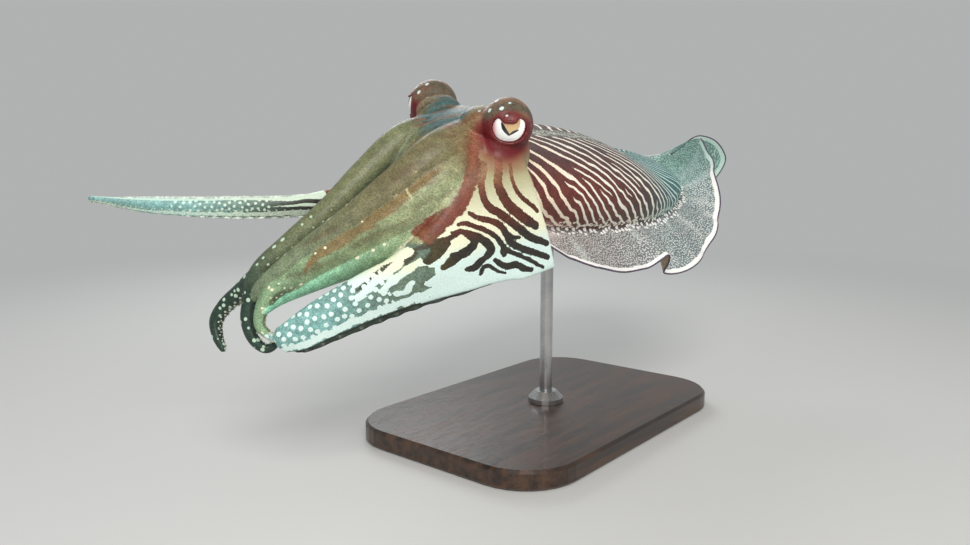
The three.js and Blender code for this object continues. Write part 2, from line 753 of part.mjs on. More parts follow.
// The rod ends on the belly; the socket is a ring round its foot.
function placeStand() {
  place("stand_base", standBase(), WOOD, stand);
  const foot = BASE_THICKNESS + GAP;
  const top = NECK_AT.z;
  const rod = new THREE.CylinderGeometry(ROD_RADIUS, ROD_RADIUS, top - foot, 16);
  rod.rotateX(Math.PI / 2);
  rod.translate(0, 0, (top + foot) / 2);
  animal.updateMatrixWorld(true);
  const belly = mantle(GAP).transform(animal.matrixWorld.elements);
  place("stand_rod", solid(rod).subtract(belly), STEEL, stand);
  const inner = ROD_RADIUS + GAP;
  const profile = [
    [inner, 0], [SOCKET_RADIUS, 0], [SOCKET_RADIUS, SOCKET_HEIGHT * 0.4],
    [SOCKET_RADIUS * 0.62, SOCKET_HEIGHT], [inner, SOCKET_HEIGHT], [inner, 0],
  ].map(([r, z]) => new THREE.Vector2(r, z));
  const socket = new THREE.LatheGeometry(profile, 16);
  socket.rotateX(Math.PI / 2);
  socket.translate(0, 0, foot);
  place("stand_socket", solid(socket), STEEL, stand);
}

const mantleGrown = placeBody();
placeFins(mantleGrown);
placeArms(mantleGrown);
placeStand();

const group = new THREE.Group();
group.add(animal, stand);
export default group;
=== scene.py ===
"""Looks of a life-size common cuttlefish, Sepia officinalis, on its display stand.

One skin covers mantle, fins, head, funnel and arms. Shapes are worked out in
millimetres in the animal's own frame and turned into the shared frame, in metres.
"""
import json
import math

import bmesh
import bpy
import numpy as np
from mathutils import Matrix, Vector
from mathutils.kdtree import KDTree

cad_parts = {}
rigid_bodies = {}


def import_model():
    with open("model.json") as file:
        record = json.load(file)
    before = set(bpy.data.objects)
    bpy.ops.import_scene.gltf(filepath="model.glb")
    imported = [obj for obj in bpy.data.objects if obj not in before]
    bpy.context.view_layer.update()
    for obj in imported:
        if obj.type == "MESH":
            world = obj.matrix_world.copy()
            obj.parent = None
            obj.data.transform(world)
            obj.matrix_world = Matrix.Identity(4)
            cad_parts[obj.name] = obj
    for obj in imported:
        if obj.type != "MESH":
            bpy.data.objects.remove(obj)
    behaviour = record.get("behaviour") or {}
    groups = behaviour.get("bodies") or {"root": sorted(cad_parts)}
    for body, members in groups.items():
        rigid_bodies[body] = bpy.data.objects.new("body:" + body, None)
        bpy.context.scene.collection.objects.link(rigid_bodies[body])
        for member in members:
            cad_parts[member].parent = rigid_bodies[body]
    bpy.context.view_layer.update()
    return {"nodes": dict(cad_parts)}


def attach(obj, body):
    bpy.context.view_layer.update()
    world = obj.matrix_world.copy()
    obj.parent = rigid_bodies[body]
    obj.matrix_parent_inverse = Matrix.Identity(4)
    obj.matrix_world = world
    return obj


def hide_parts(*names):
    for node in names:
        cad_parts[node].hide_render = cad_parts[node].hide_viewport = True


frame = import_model()
MM = 0.001

# Mantle.
MANTLE_LENGTH = 292
MANTLE_HALF_WIDTH = 68
MANTLE_DORSAL_HEIGHT = 31
MANTLE_VENTRAL_DEPTH = 42
WIDEST_AT = 0.4
COLLAR_SHARE = 0.84
COLLAR_WALL = 5
COLLAR_RECESS = 24
NUCHAL_TIP = 6
VENTRAL_NOTCH = 9
COLLAR_FADE = 55
MANTLE_SQUARENESS = 0.93
DORSAL_DIP = 0.3
DORSAL_DIP_AT = 0.7
DORSAL_DIP_REACH = 0.14

# Fins.
FIN_START = 9
FIN_END = 289
FIN_WIDTH = 40
FIN_ROOT_THICKNESS = 5
FIN_EDGE_THICKNESS = 1.2
FIN_ROOT_ANGLES = (math.radians(-42), math.radians(-13))
FIN_BEND = 0.55
FIN_TURNS = 268
FIN_WAVES = {
    1: (
        (9, -4), (50, -14), (105, -27), (126, -27), (143, -11), (161, -40), (200, -20), (232, 4),
        (255, 31), (270, 54), (289, 74),
    ),
    -1: (
        (9, -30), (60, -22), (105, -44), (150, -42), (185, -30), (210, -28), (236, -12), (255, 15),
        (268, 30), (279, 45), (283, 37), (286, 23), (289, 3),
    ),
}
FIN_SWEEPS = {
    1: ((9, 0), (270, 0), (289, -20)),
    -1: ((9, 0), (225, 0), (255, 62), (268, 85), (279, 86), (285, 78), (289, 69)),
}
FIN_FRONT_OUTLINE = ((9, 0.12), (20, 0.5), (38, 0.85), (60, 1.03), (140, 1))
FIN_OUTLINES = {
    1: FIN_FRONT_OUTLINE + ((185, 1.28), (215, 1.13), (240, 0.99), (262, 0.96), (280, 1.13), (289, 1.25)),
    -1: FIN_FRONT_OUTLINE + (
        (185, 1.14), (215, 1.05), (236, 1.15), (255, 1.38), (268, 1.34), (279, 1.81), (284, 2.03),
        (289, 2.1),
    ),
}

# Head, measured forward, left and up from its own centre.
EYE_FORWARD = 22
EYE_SIDE = 41
EYE_UP = 27
EYE_RADIUS = 13
EYE_STANDOFF = 5.5
GAZE_FORWARD = math.radians(35)
BULGE_RADII = (17, 15.5, 17)
BULGE_SHIFT = (1.5, 0, 0)
BROW = ((27, 22, 27), (15, 15, 10.5))
LID_HALF_WIDTH = 10.8
LID_HALF_HEIGHT = 8.6
LID_SHIFT = (-2.0, 1.8)
LID_THICKNESS = 1.3
LID_DIP = (-1.7, 5.6, 4.9)
EYE_RINGS = 90
EYE_FINE_ARC = 1.25
EYE_WHITE = (
    (-5.6, 9.0), (-9.5, 6.5), (-11.4, 2.0), (-10.7, -1.3), (-8.6, -4.0), (-5.2, -5.4), (-1.1, -5.6),
    (3.1, -4.2), (6.2, -0.9), (7.6, 3.6), (6.8, 7.4), (4.8, 9.3),
)
EYE_IRIS = (
    (-5.6, 8.5), (-6.3, 4.8), (-5.8, 2.6), (-3.6, -0.8), (-0.7, -1.1), (3.0, 1.4), (4.6, 4.6),
    (4.3, 8.6), (0, 10),
)
EYE_FLAP = (
    (-8.2, 11), (-7.4, 8.0), (-6.4, 5.6), (-3.0, 4.7), (0.6, 4.7), (3.0, 6.0), (4.2, 8.8), (4.4, 11),
)
PUPIL_BARS = (
    (((-6.3, 5.0), (-5.2, 2.1), (-2.5, -1.4)), 1.15),
    (((-2.0, -1.3), (0.2, 0.2), (3.0, 1.2)), 0.75),
)
LID_AHEAD = 8
NECK_STATIONS = ((32, 0, 47, 16, 26), (17, 0, 48, 17, 27), (8, 14, 48, 20, 27))
HEAD_STATIONS = (
    (14, 44, 30, 38), (28, 45, 32, 42), (44, 42, 30, 42), (58, 36, 25, 38), (70, 27, 17, 30),
    (78, 14, 8, 18), (80, 0.5, 0.5, 0.5),
)
EYE_BASE = ((23, 36, 9), (18, 15, 19))
CHEEKS = {1: ((34, 47, -27), (19, 14, 25)), -1: ((45, -44, -24), (18, 13, 22))}
FUNNEL_STATIONS = ((-30, -23, 26, 10), (-12, -25, 26, 11), (8, -31, 23, 12), (26, -40, 18, 11),
    (44, -50, 13, 10), (60, -59, 10, 9))
FUNNEL_WALL = 3

# Arms: the line that the bundle follows, how far each arm keeps from it, and
# each arm's angle round it, last stretch and half sizes at root and tip.
BUNDLE = ((30, 4, -2), (62, 4, -10), (90, 0, -23), (117, -6, -35), (143, -13, -46), (165, -19, -57))
SPREAD = (22, 30, 27, 20, 15, 11)
CURL_FROM = 0.68
CURL_FULL = 0.86
BUNDLE_ARMS = {
    "left_1": dict(azimuth=35, tip=((175, -22, -62),), wide=(15, 2.8), thick=(13, 2.6)),
    "left_2": dict(
        azimuth=70, tip=((173, -8, -60), (178, -5, -70), (175, 2, -77)), curl=(166, -1, -68),
        wide=(16, 2.6), thick=(13, 2.4),
    ),
    "left_3": dict(azimuth=106, tip=((174, -3, -61),), wide=(18, 2), thick=(13, 2)),
    "right_1": dict(
        azimuth=-35,
        tip=((173, -23, -61), (179, -19, -72), (180, -12, -82), (176, -6, -87), (171, -4, -84),
            (172, -7, -79)),
        curl=(173, -12, -77), wide=(15, 1.8), thick=(13, 1.8),
    ),
    "right_2": dict(
        azimuth=-70,
        tip=((172, -37, -62), (181, -44, -71), (188, -46, -80), (191, -40, -88), (192, -33, -92)),
        curl=(180, -30, -82), wide=(16, 2.4), thick=(13, 2.4),
    ),
    "right_3": dict(azimuth=-106, tip=((172, -36, -66),), wide=(18, 3), thick=(13, 3)),
}
BROAD_ARMS = {
    "left_4": dict(
        edge=((21, 44, 17), (50, 41, 9), (80, 41, -14), (105, 34, -33), (128, 24, -44),
            (150, 13, -56), (164, 7, -65), (171, 5, -69)),
        keel=((12, 72, -60), (44, 67, -62), (72, 58, -62), (100, 46, -65), (124, 36, -70),
            (147, 26, -77), (163, 18, -83), (170, 12, -84)),
        thick=(9, 5), oral=-1, rows_at=-0.35,
    ),
    "right_4": dict(
        edge=((36, -46, 0), (68, -57, -18), (105, -66, -23), (154, -88, -20), (197, -108, -14),
            (223, -119, -9)),
        keel=((30, -56, -50), (66, -60, -44), (104, -64, -38), (154, -82, -31),
            (197, -105, -23), (225, -118, -12)),
        thick=(8, 2), oral=1, rows_at=0.6,
    ),
}

# Pose.
BANK = math.radians(21.6)
PITCH = math.radians(2)
HEAD_TURN = math.radians(5)
HEAD_DROOP = math.radians(17)
HEAD_LEVELLING = math.radians(9)
HEAD_AT = np.array((10.5, -6.9, 16.9))
NECK_AT = np.array((-95.0, 0.0, 200.0))

# How fine the skin is.
ROW_STEP = 0.66
TAIL_ROWS_FROM = 240
TAIL_ROWS = 190
DORSAL_POINTS = 220
VENTRAL_POINTS = 190
FIN_POINTS = 62
FILLET_STEPS = 60
VOXEL = 0.9


def turn_x(angle):
    c, s = math.cos(angle), math.sin(angle)
    return np.array(((1, 0, 0), (0, c, -s), (0, s, c)))


def turn_y(angle):
    c, s = math.cos(angle), math.sin(angle)
    return np.array(((c, 0, s), (0, 1, 0), (-s, 0, c)))


def turn_z(angle):
    c, s = math.cos(angle), math.sin(angle)
    return np.array(((c, -s, 0), (s, c, 0), (0, 0, 1)))


BODY_TURN = turn_x(BANK) @ turn_y(PITCH)
HEAD_TURNED = turn_z(-HEAD_TURN) @ turn_y(-HEAD_DROOP) @ turn_x(-HEAD_LEVELLING)


def world(points):
    """Points of the body's frame in the shared frame, still in millimetres."""
    return np.asarray(points) @ BODY_TURN.T + NECK_AT


def head_points(points):
    """Forward, left and up in the head's frame, as points of the body's frame."""
    return (np.asarray(points, float) * (-1, -1, 1)) @ HEAD_TURNED.T + HEAD_AT


def head_ways(ways):
    return (np.asarray(ways, float) * (-1, -1, 1)) @ HEAD_TURNED.T


def in_head_frame(points):
    """Points of the body's frame as forward, left and up in the head's frame."""
    return ((np.asarray(points) - HEAD_AT) @ HEAD_TURNED) * (-1, -1, 1)


def smoothstep(x, low, high):
    t = np.clip((np.asarray(x, float) - low) / (high - low), 0, 1)
    return t * t * (3 - 2 * t)


def window(x, from_low, from_high, to_low, to_high):
    """Rises from 0 to 1, stays, and falls to 0 again."""
    return smoothstep(x, from_low, from_high) * (1 - smoothstep(x, to_low, to_high))


def mix(a, b, t):
    return a + (b - a) * t


def tinted(first, last, share):
    """A mix of two colours at each point."""
    return first + (last - first) * np.asarray(share)[:, None]


def unit(v):
    return v / np.maximum(np.linalg.norm(v, axis=-1, keepdims=True), 1e-9)


def along(pairs, position):
    """A value read off (position, value) pairs, eased between them."""
    at, values = np.array(pairs, float).T
    position = np.asarray(position, float)
    i = np.clip(np.searchsorted(at, position, side="right"), 1, len(at) - 1)
    return mix(values[i - 1], values[i], smoothstep((position - at[i - 1]) / (at[i] - at[i - 1]), 0, 1))


def power(value, exponent):
    return np.sign(value) * np.abs(value) ** exponent


def rounded(angle, half_width, above, below, squareness=1.0):
    """Left and up on a rounded section."""
    s = power(np.sin(angle), squareness)
    return half_width * power(np.cos(angle), squareness), np.where(s > 0, above * s, below * s)


def catmull_rom(points, t):
    """A centripetal Catmull-Rom curve through points, at t from 0 to 1."""
    points = np.asarray(points, float)
    spans = len(points) - 1
    padded = np.concatenate(([2 * points[0] - points[1]], points, [2 * points[-1] - points[-2]]))
    at = np.clip(np.asarray(t, float), 0, 1) * spans
    i = np.minimum(at.astype(int), spans - 1)
    w = (at - i)[..., None]
    p0, p1, p2, p3 = (padded[i + k] for k in range(4))
    pairs = ((p0, p1), (p1, p2), (p2, p3))
    d0, d1, d2 = (np.maximum(np.linalg.norm(b - a, axis=-1, keepdims=True) ** 0.5, 1e-4) for a, b in pairs)
    m1 = ((p1 - p0) / d0 - (p2 - p0) / (d0 + d1) + (p2 - p1) / d1) * d1
    m2 = ((p2 - p1) / d1 - (p3 - p1) / (d1 + d2) + (p3 - p2) / d2) * d1
    return p1 + m1 * w + (-3 * p1 + 3 * p2 - 2 * m1 - m2) * w ** 2 + (2 * p1 - 2 * p2 + m1 + m2) * w ** 3


def through(knots, values, t):
    """Values of any shape carried smoothly through knots."""
    knots = np.asarray(knots, float)
    values = np.asarray(values, float)
    slopes = np.gradient(values, knots, axis=0)
    i = np.clip(np.searchsorted(knots, t, side="right") - 1, 0, len(knots) - 2)
    h = knots[i + 1] - knots[i]
    w = (t - knots[i]) / h
    shape = (-1,) + (1,) * (values.ndim - 1)
    w, h = w.reshape(shape), h.reshape(shape)
    return (
        (2 * w ** 3 - 3 * w ** 2 + 1) * values[i] + (w ** 3 - 2 * w ** 2 + w) * h * slopes[i]
        + (3 * w ** 2 - 2 * w ** 3) * values[i + 1] + (w ** 3 - w ** 2) * h * slopes[i + 1]
    )


# Mantle and fins.

def mantle_section(back):
    t = np.clip(np.asarray(back, float) / MANTLE_LENGTH, 0, 1)
    fore = COLLAR_SHARE + (1 - COLLAR_SHARE) * np.sin(math.pi / 2 * t / WIDEST_AT)
    aft = (1 - np.maximum(0, (t - WIDEST_AT) / (1 - WIDEST_AT)) ** 2.3) ** 0.62
    size = np.where(t < WIDEST_AT, fore, aft)
    dip = 1 - DORSAL_DIP * np.exp(-(((t - DORSAL_DIP_AT) / DORSAL_DIP_REACH) ** 2))
    return MANTLE_HALF_WIDTH * size, MANTLE_DORSAL_HEIGHT * size * dip, MANTLE_VENTRAL_DEPTH * size


def collar_shift(angle):
    s = np.sin(angle)
    return np.where(s > 0, -NUCHAL_TIP * np.abs(s) ** 5, VENTRAL_NOTCH * s * s)


def mantle_points(back, angle, inset=0.0):
    width, above, below = mantle_section(back)
    left, up = rounded(angle, width - inset, above - inset, below - inset, MANTLE_SQUARENESS)
    fade = 1 - smoothstep(back, 0, COLLAR_FADE)
    x = back + collar_shift(angle) * fade
    return np.stack(np.broadcast_arrays(x, -left, up), axis=-1)


def fin_root_angle(back):
    return mix(*FIN_ROOT_ANGLES, np.asarray(back, float) / MANTLE_LENGTH)


def fin_root(back, side):
    def at(s):
        width, _, below = mantle_section(s)
        angle = fin_root_angle(s)
        left = -side * width * np.cos(angle)
        return np.stack(np.broadcast_arrays(s, left, below * np.sin(angle)), axis=-1)

    back = np.asarray(back, float)
    tangent = at(np.minimum(back + 1, MANTLE_LENGTH - 0.5)) - at(back - 1)
    out = unit(np.stack((tangent[..., 1] * side, -tangent[..., 0] * side, np.zeros_like(back)), axis=-1))
    return at(back), out


def fin_width(back, side):
    ends = smoothstep(back, 3, FIN_START + 1)
    if side < 0:
        ends = ends * (1 - 0.3 * smoothstep(back, FIN_END - 4, FIN_END + 1))
    return FIN_WIDTH * fin_value(FIN_OUTLINES[side], back, side) * ends


def fin_value(pairs, back, side):
    """A fin's value at a distance back; the far end of the right fin is smoothed."""
    value = along(pairs, back)
    if side > 0:
        return value
    knots, values = np.array([pair for pair in pairs if pair[0] >= FIN_TURNS], float).T
    smooth = through(knots, values, np.ravel(np.maximum(back, FIN_TURNS))).reshape(np.shape(back))
    return np.where(back > FIN_TURNS, smooth, value)


def fin_points(back, reach, side):
    """The fin's mid surface, from 0 at the root to 1 at the edge."""
    here, out = fin_root(back, side)
    bend = FIN_BEND + (1 - FIN_BEND) * reach
    angle = np.radians(fin_value(FIN_WAVES[side], back, side)) * bend
    sweep = np.radians(fin_value(FIN_SWEEPS[side], back, side)) * bend * side
    flat = fin_width(back, side) * reach
    c, s = np.cos(sweep) * flat * np.cos(angle), np.sin(sweep) * flat * np.cos(angle)
    x, y = out[..., 0] * c - out[..., 1] * s, out[..., 0] * s + out[..., 1] * c
    return here + np.stack((x, y, flat * np.sin(angle)), axis=-1)


def fin_faces(back, side):
    """Upper face, edge and lower face of the fin, each from the root out."""
    back = back[:, None]
    reach = (np.arange(FIN_POINTS)[None, :] + 1) / FIN_POINTS
    back, reach = np.broadcast_arrays(back, reach)
    middle = fin_points(back, reach, side)
    lengthwise = fin_points(back + 1, reach, side) - fin_points(back - 1, reach, side)
    outwards = fin_points(back, reach + 0.05, side) - fin_points(back, reach - 0.05, side)
    normal = -side * unit(np.cross(lengthwise, outwards))
    flat = fin_width(back, side) * reach
    half = mix(FIN_ROOT_THICKNESS, FIN_EDGE_THICKNESS, reach ** 0.7) / 2 + 1.6 * np.exp(-flat / 4)
    upper = middle + normal * half[..., None]
    lower = middle - normal * half[..., None]
    edge = middle[:, -1] + unit(outwards[:, -1]) * 0.5
    return upper, edge, lower


def quad_rows(first, second, closed=True):
    """Quads between two rows of like points, given as their indices."""
    a, b = (np.append(first, first[0]), np.append(second, second[0])) if closed else (first, second)
    return np.stack((a[:-1], a[1:], b[1:], b[:-1]), axis=-1)


def mantle_and_fins():
    """The mantle with its collar and both fins as one closed surface.

    A full row runs over the back from the right fin to the left one, round the
    left fin, under the belly and round the right fin. Rows before and behind the
    fins leave the fins out.
    """
    at_tail = np.linspace(TAIL_ROWS_FROM, FIN_END, TAIL_ROWS)
    finned = np.concatenate((np.arange(4, TAIL_ROWS_FROM, ROW_STEP), at_tail))
    fore = np.linspace(0, 3.3, 5)
    turn = np.linspace(0, math.pi / 2, 9)[1:-1]
    tail = FIN_END + (MANTLE_LENGTH - FIN_END) * np.sin(turn)
    root = fin_root_angle
    reach_round = lambda s: np.minimum(np.radians(38), 4.2 / np.maximum(mantle_section(s)[0], 4))

    def arcs(back):
        gap = reach_round(back)
        t = np.linspace(0, 1, DORSAL_POINTS)[None, :]
        dorsal = mix((math.pi - root(back) - gap)[:, None], (root(back) + gap)[:, None], t)
        t = np.linspace(0, 1, VENTRAL_POINTS)[None, :]
        ventral = mix((root(back) - gap)[:, None], (-math.pi - root(back) + gap)[:, None], t)
        return dorsal, ventral

    points, facts, quads, tris = [], [], [], []
    total = 0

    def add(block, back, angle, reach, side, face):
        nonlocal total
        shape = block.shape[:-1]
        points.append(block.reshape(-1, 3))
        known = (back, angle, reach, side, face)
        facts.append(np.stack([np.broadcast_to(v, shape).ravel() for v in known], axis=-1))
        ids = np.arange(total, total + shape[0] * shape[1]).reshape(shape)
        total += ids.size
        return ids

    def bare(back, inset=0.0, shift=0.0, face=0.0):
        dorsal, ventral = arcs(back)
        angle = np.concatenate((dorsal, ventral), axis=1)
        block = mantle_points(back[:, None], angle, inset)
        block[..., 0] += shift
        return add(block, back[:, None], angle, 0.0, np.sign(np.cos(angle)), face)

    # Collar: a rounded lip, the wall inside it and the floor of the recess.
    lip = np.linspace(math.pi, 0.15, 12)
    half_wall = COLLAR_WALL / 2
    zeros = np.zeros(1)
    inner = [bare(zeros, COLLAR_WALL + 9, COLLAR_RECESS, 3.0)]
    for depth in (COLLAR_RECESS, 20, 16, 12, 9, 6, 4.2, 3.2):
        inner.append(bare(zeros, COLLAR_WALL, depth, 3.0))
    for a in lip:
        inner.append(bare(zeros, half_wall * (1 - math.cos(a)), half_wall * (1 - math.sin(a)), 3.0))
    front = bare(fore[2:] + 0.9)

    dorsal, ventral = arcs(finned)
    over = mantle_points(finned[:, None], dorsal)
    under = mantle_points(finned[:, None], ventral)
    left = fin_faces(finned, 1)
    right = fin_faces(finned, -1)
    ring = np.concatenate((
        over, left[0], left[1][:, None], left[2][:, ::-1], under,
        right[2], right[1][:, None], right[0][:, ::-1],
    ), axis=1)
    ends = np.cumsum((DORSAL_POINTS, 2 * FIN_POINTS + 1, VENTRAL_POINTS, 2 * FIN_POINTS + 1))
    junctions = (DORSAL_POINTS, ends[1], ends[2], ends[3])
    column = np.arange(ring.shape[1])
    half_round = len(column) // 2
    off = [np.abs((column - j + half_round) % len(column) - half_round) for j in junctions]
    reach_off = np.min(off, axis=0)
    ease = (1 - smoothstep(reach_off, 3, 11))[None, :, None] * 0.5
    for _ in range(FILLET_STEPS):
        ring += ease * ((np.roll(ring, 1, axis=1) + np.roll(ring, -1, axis=1)) / 2 - ring)

    reach = (np.arange(FIN_POINTS) + 1) / FIN_POINTS
    round_fin = np.concatenate((reach, [1.0], reach[::-1]))
    face_fin = np.concatenate((np.full(FIN_POINTS, 1.0), [1.0], np.full(FIN_POINTS, 2.0)))
    roots = np.repeat(root(finned)[:, None], 2 * FIN_POINTS + 1, axis=1)
    angle = np.concatenate((dorsal, roots, ventral, math.pi - roots), axis=1)
    over_zeros, under_zeros = np.zeros(DORSAL_POINTS), np.zeros(VENTRAL_POINTS)
    row_reach = np.concatenate((over_zeros, round_fin, under_zeros, round_fin[::-1]))
    row_face = np.concatenate((over_zeros, face_fin, under_zeros, face_fin[::-1]))
    full = add(ring, finned[:, None], angle, row_reach[None, :], np.sign(np.cos(angle)), row_face[None, :])
    rear = bare(tail)

    rows = [r for block in inner for r in block] + list(front)
    for a, b in zip(rows, rows[1:]):
        quads.append(quad_rows(a, b))
    for block in (full, rear):
        for a, b in zip(block, block[1:]):
            quads.append(quad_rows(a, b))
    quads.append(fin_ends(front[-1], full[0], ends))
    quads.append(fin_ends(rear[0], full[-1], ends))
    for ring_ids, pole in ((inner[0][0], (COLLAR_RECESS, 0, 0)), (rear[-1], (MANTLE_LENGTH, 0, 0))):
        face = 3.0 if pole[0] == COLLAR_RECESS else 0.0
        ids = add(np.array(pole, float)[None, None], pole[0], math.pi / 2, 0.0, 1.0, face)
        pole_id = ids[0, 0]
        following = np.roll(ring_ids, -1)
        tris.append(np.stack((ring_ids, following, np.full_like(ring_ids, pole_id)), axis=-1))
    tips = []
    for start in (ends[0], ends[2]):
        for row in (full[0], full[-1]):
            edge = start + FIN_POINTS
            tips.append((row[edge - 1], row[edge], row[edge + 1]))
    tris.append(np.array(tips))
    return np.concatenate(points), np.concatenate(facts), np.concatenate(quads), np.concatenate(tris)


def fin_ends(bare_row, full_row, ends):
    """Joins a row without fins to one with them, and closes the fins' ends."""
    over = full_row[:DORSAL_POINTS]
    under = full_row[ends[1]:ends[2]]
    made = [
        quad_rows(bare_row[:DORSAL_POINTS], over, closed=False),
        quad_rows(bare_row[DORSAL_POINTS:], under, closed=False),
    ]
    loose = []
    for start, before, after in ((ends[0], over[-1], under[0]), (ends[2], under[-1], over[0])):
        first = full_row[start:start + FIN_POINTS]
        second = full_row[start + FIN_POINTS + 1:start + 2 * FIN_POINTS + 1][::-1]
        made.append(quad_rows(first, second, closed=False))
        loose.append((before, first[0], second[0], after))
    loose.append((bare_row[DORSAL_POINTS - 1], bare_row[DORSAL_POINTS], under[0], over[-1]))
    loose.append((bare_row[-1], bare_row[0], over[0], under[-1]))
    made.append(np.array(loose))
    return np.concatenate(made)


# Head, funnel and arms, as closed pieces that a fine grid then melts into one.

class Parts:
    """Closed surfaces collected into one list of points and faces."""

    def __init__(self):
        self.points, self.quads, self.tris, self.total = [], [], [], 0

    def tube(self, rings, first_pole, last_pole):
        rows, sides, _ = rings.shape
        ids = self.total + np.arange(rows * sides).reshape(rows, sides)
        self.points.append(rings.reshape(-1, 3))
        self.points.append(np.array((first_pole, last_pole), float))
        for a, b in zip(ids, ids[1:]):
            self.quads.append(quad_rows(a, b))
        pole = self.total + rows * sides
        for ring, top in ((ids[0], pole), (ids[-1][::-1], pole + 1)):
            self.tris.append(np.stack((ring, np.roll(ring, -1), np.full_like(ring, top)), axis=-1))
        self.total = pole + 2

    def surface(self):
        return np.concatenate(self.points), np.concatenate(self.quads), np.concatenate(self.tris)

    def ball(self, centre, radii, place, sides=64):
        polar = np.linspace(0, math.pi, sides // 2 + 1)[1:-1, None]
        around = np.linspace(0, 2 * math.pi, sides, endpoint=False)[None, :]
        shape = np.stack(np.broadcast_arrays(
            np.sin(polar) * np.cos(around), np.sin(polar) * np.sin(around), np.cos(polar)), axis=-1)
        poles = np.array(((0, 0, 1.0), (0, 0, -1.0))) * radii + centre
        self.tube(place(shape * radii + centre), *place(poles))


def head_core(parts):
    angle = np.linspace(0, 2 * math.pi, 140, endpoint=False)
    rings = []
    for back, lean, width, above, below in NECK_STATIONS:
        left, up = rounded(angle, width, above, below, 0.9)
        tilt = math.radians(lean)
        rings.append(np.stack((back - up * math.sin(tilt), -left, up * math.cos(tilt)), axis=-1))
    for forward, width, above, below in HEAD_STATIONS:
        left, up = rounded(angle, width, above, below, 0.9)
        rings.append(head_points(np.stack((np.full_like(left, forward), left, up), axis=-1)))
    rings = np.array(rings)
    knots = np.concatenate(([0], np.cumsum(np.linalg.norm(np.diff(rings, axis=0), axis=-1).mean(axis=1))))
    fine = through(knots, rings, np.linspace(0, knots[-1], 90))
    parts.tube(fine, (NECK_STATIONS[0][0], 0, -5), head_points((HEAD_STATIONS[-1][0], 0, -4)))


def along_gaze(side, ahead):
    forward = EYE_FORWARD + ahead * math.sin(GAZE_FORWARD)
    return np.array((forward, side * (EYE_SIDE + ahead * math.cos(GAZE_FORWARD)), EYE_UP))


def gaze_frame(side):
    """Ways across, up and ahead of the gaze, in the head's frame."""
    ahead = np.array((math.sin(GAZE_FORWARD), side * math.cos(GAZE_FORWARD), 0))
    up = np.array((0, 0, 1.0))
    return np.cross(up, ahead), up, ahead


def lid(parts, side):
    """The thin rim round the eye, with the flap that hangs over it."""
    across, up, ahead = gaze_frame(side)
    across = across * side
    around = np.linspace(0, 2 * math.pi, 90, endpoint=False)
    tube = np.linspace(0, 2 * math.pi, 20, endpoint=False)[None, :]
    x = LID_HALF_WIDTH * np.cos(around) + LID_SHIFT[0]
    y = LID_HALF_HEIGHT * np.sin(around) + LID_SHIFT[1]
    at, reach, drop = LID_DIP
    y = y - drop * np.exp(-((x - at) / reach) ** 4) * (np.sin(around) > 0)
    depth = np.sqrt(np.maximum(EYE_RADIUS ** 2 - x * x - y * y, 6)) + 0.2
    spoke = across * np.cos(around)[:, None] + up * np.sin(around)[:, None]
    middle = across * x[:, None] + up * y[:, None] + ahead * depth[:, None] + along_gaze(side, 0)
    rings = middle[:, None] + spoke[:, None] * (LID_THICKNESS * np.cos(tube))[..., None]
    rings = rings + ahead * (LID_THICKNESS * np.sin(tube))[..., None]
    rows, sides, _ = rings.shape
    ids = parts.total + np.arange(rows * sides).reshape(rows, sides)
    parts.points.append(head_points(rings).reshape(-1, 3))
    for a, b in zip(ids, np.roll(ids, -1, axis=0)):
        parts.quads.append(quad_rows(a, b))
    parts.total += rows * sides


def funnel(parts):
    angle = np.linspace(0, 2 * math.pi, 60, endpoint=False)
    stations = np.array(FUNNEL_STATIONS, float)
    knots = np.arange(len(stations))
    outer = through(knots, stations, np.linspace(0, len(stations) - 1, 50))
    bore = stations - (0, 0, FUNNEL_WALL, FUNNEL_WALL)
    inner = through(knots, bore, np.linspace(len(stations) - 1, 3, 30))

    def ring(station):
        forward, up, wide, high = station
        left, rise = rounded(angle, wide, high, high)
        return np.stack((np.full_like(left, -forward), -left, up + rise), axis=-1)

    rings = np.array([ring(s) for s in np.concatenate((outer, inner))])
    parts.tube(rings, (30, 0, -23), (-26, 0, -40))


class BundleArm:
    """An arm of the bundle; its stations are given by share of its length."""

    def __init__(self, spec):
        self.spec = spec
        angle = math.radians(spec["azimuth"])
        left, up = math.sin(angle), math.cos(angle)
        near = [(f, l + s * left, u + s * up) for (f, l, u), s in zip(BUNDLE, SPREAD)]
        route = head_points(near + list(spec["tip"]))
        self.dense = catmull_rom(route, np.linspace(0, 1, 1201))
        steps = np.linalg.norm(np.diff(self.dense, axis=0), axis=-1)
        self.gone = np.concatenate(([0], np.cumsum(steps)))
        self.length = self.gone[-1]
        self.outward = head_ways((0, left, up))

    def point(self, u):
        at = np.clip(u, 0, 1) * self.length
        return np.stack([np.interp(at, self.gone, self.dense[:, k]) for k in range(3)], axis=-1)

    def station(self, u):
        spec = self.spec
        at = self.point(u)
        ahead = unit(self.point(u + 0.004) - self.point(u - 0.004))
        out = np.broadcast_to(self.outward, at.shape)
        if "curl" in spec:
            away = unit(at - head_points(spec["curl"]))
            out = unit(mix(out, away, smoothstep(u, CURL_FROM, CURL_FULL)[:, None]))
        out = unit(out - ahead * (out * ahead).sum(axis=-1, keepdims=True))
        across = np.cross(ahead, out)
        taper = (1 - np.clip(u, 0, 1)) ** 0.75
        wide, thick = (mix(spec[size][1], spec[size][0], taper) for size in ("wide", "thick"))
        return at, ahead, out, across, wide, thick

    def section(self, angle, wide, thick):
        return rounded(angle, wide, thick, thick * 0.8, 0.85)


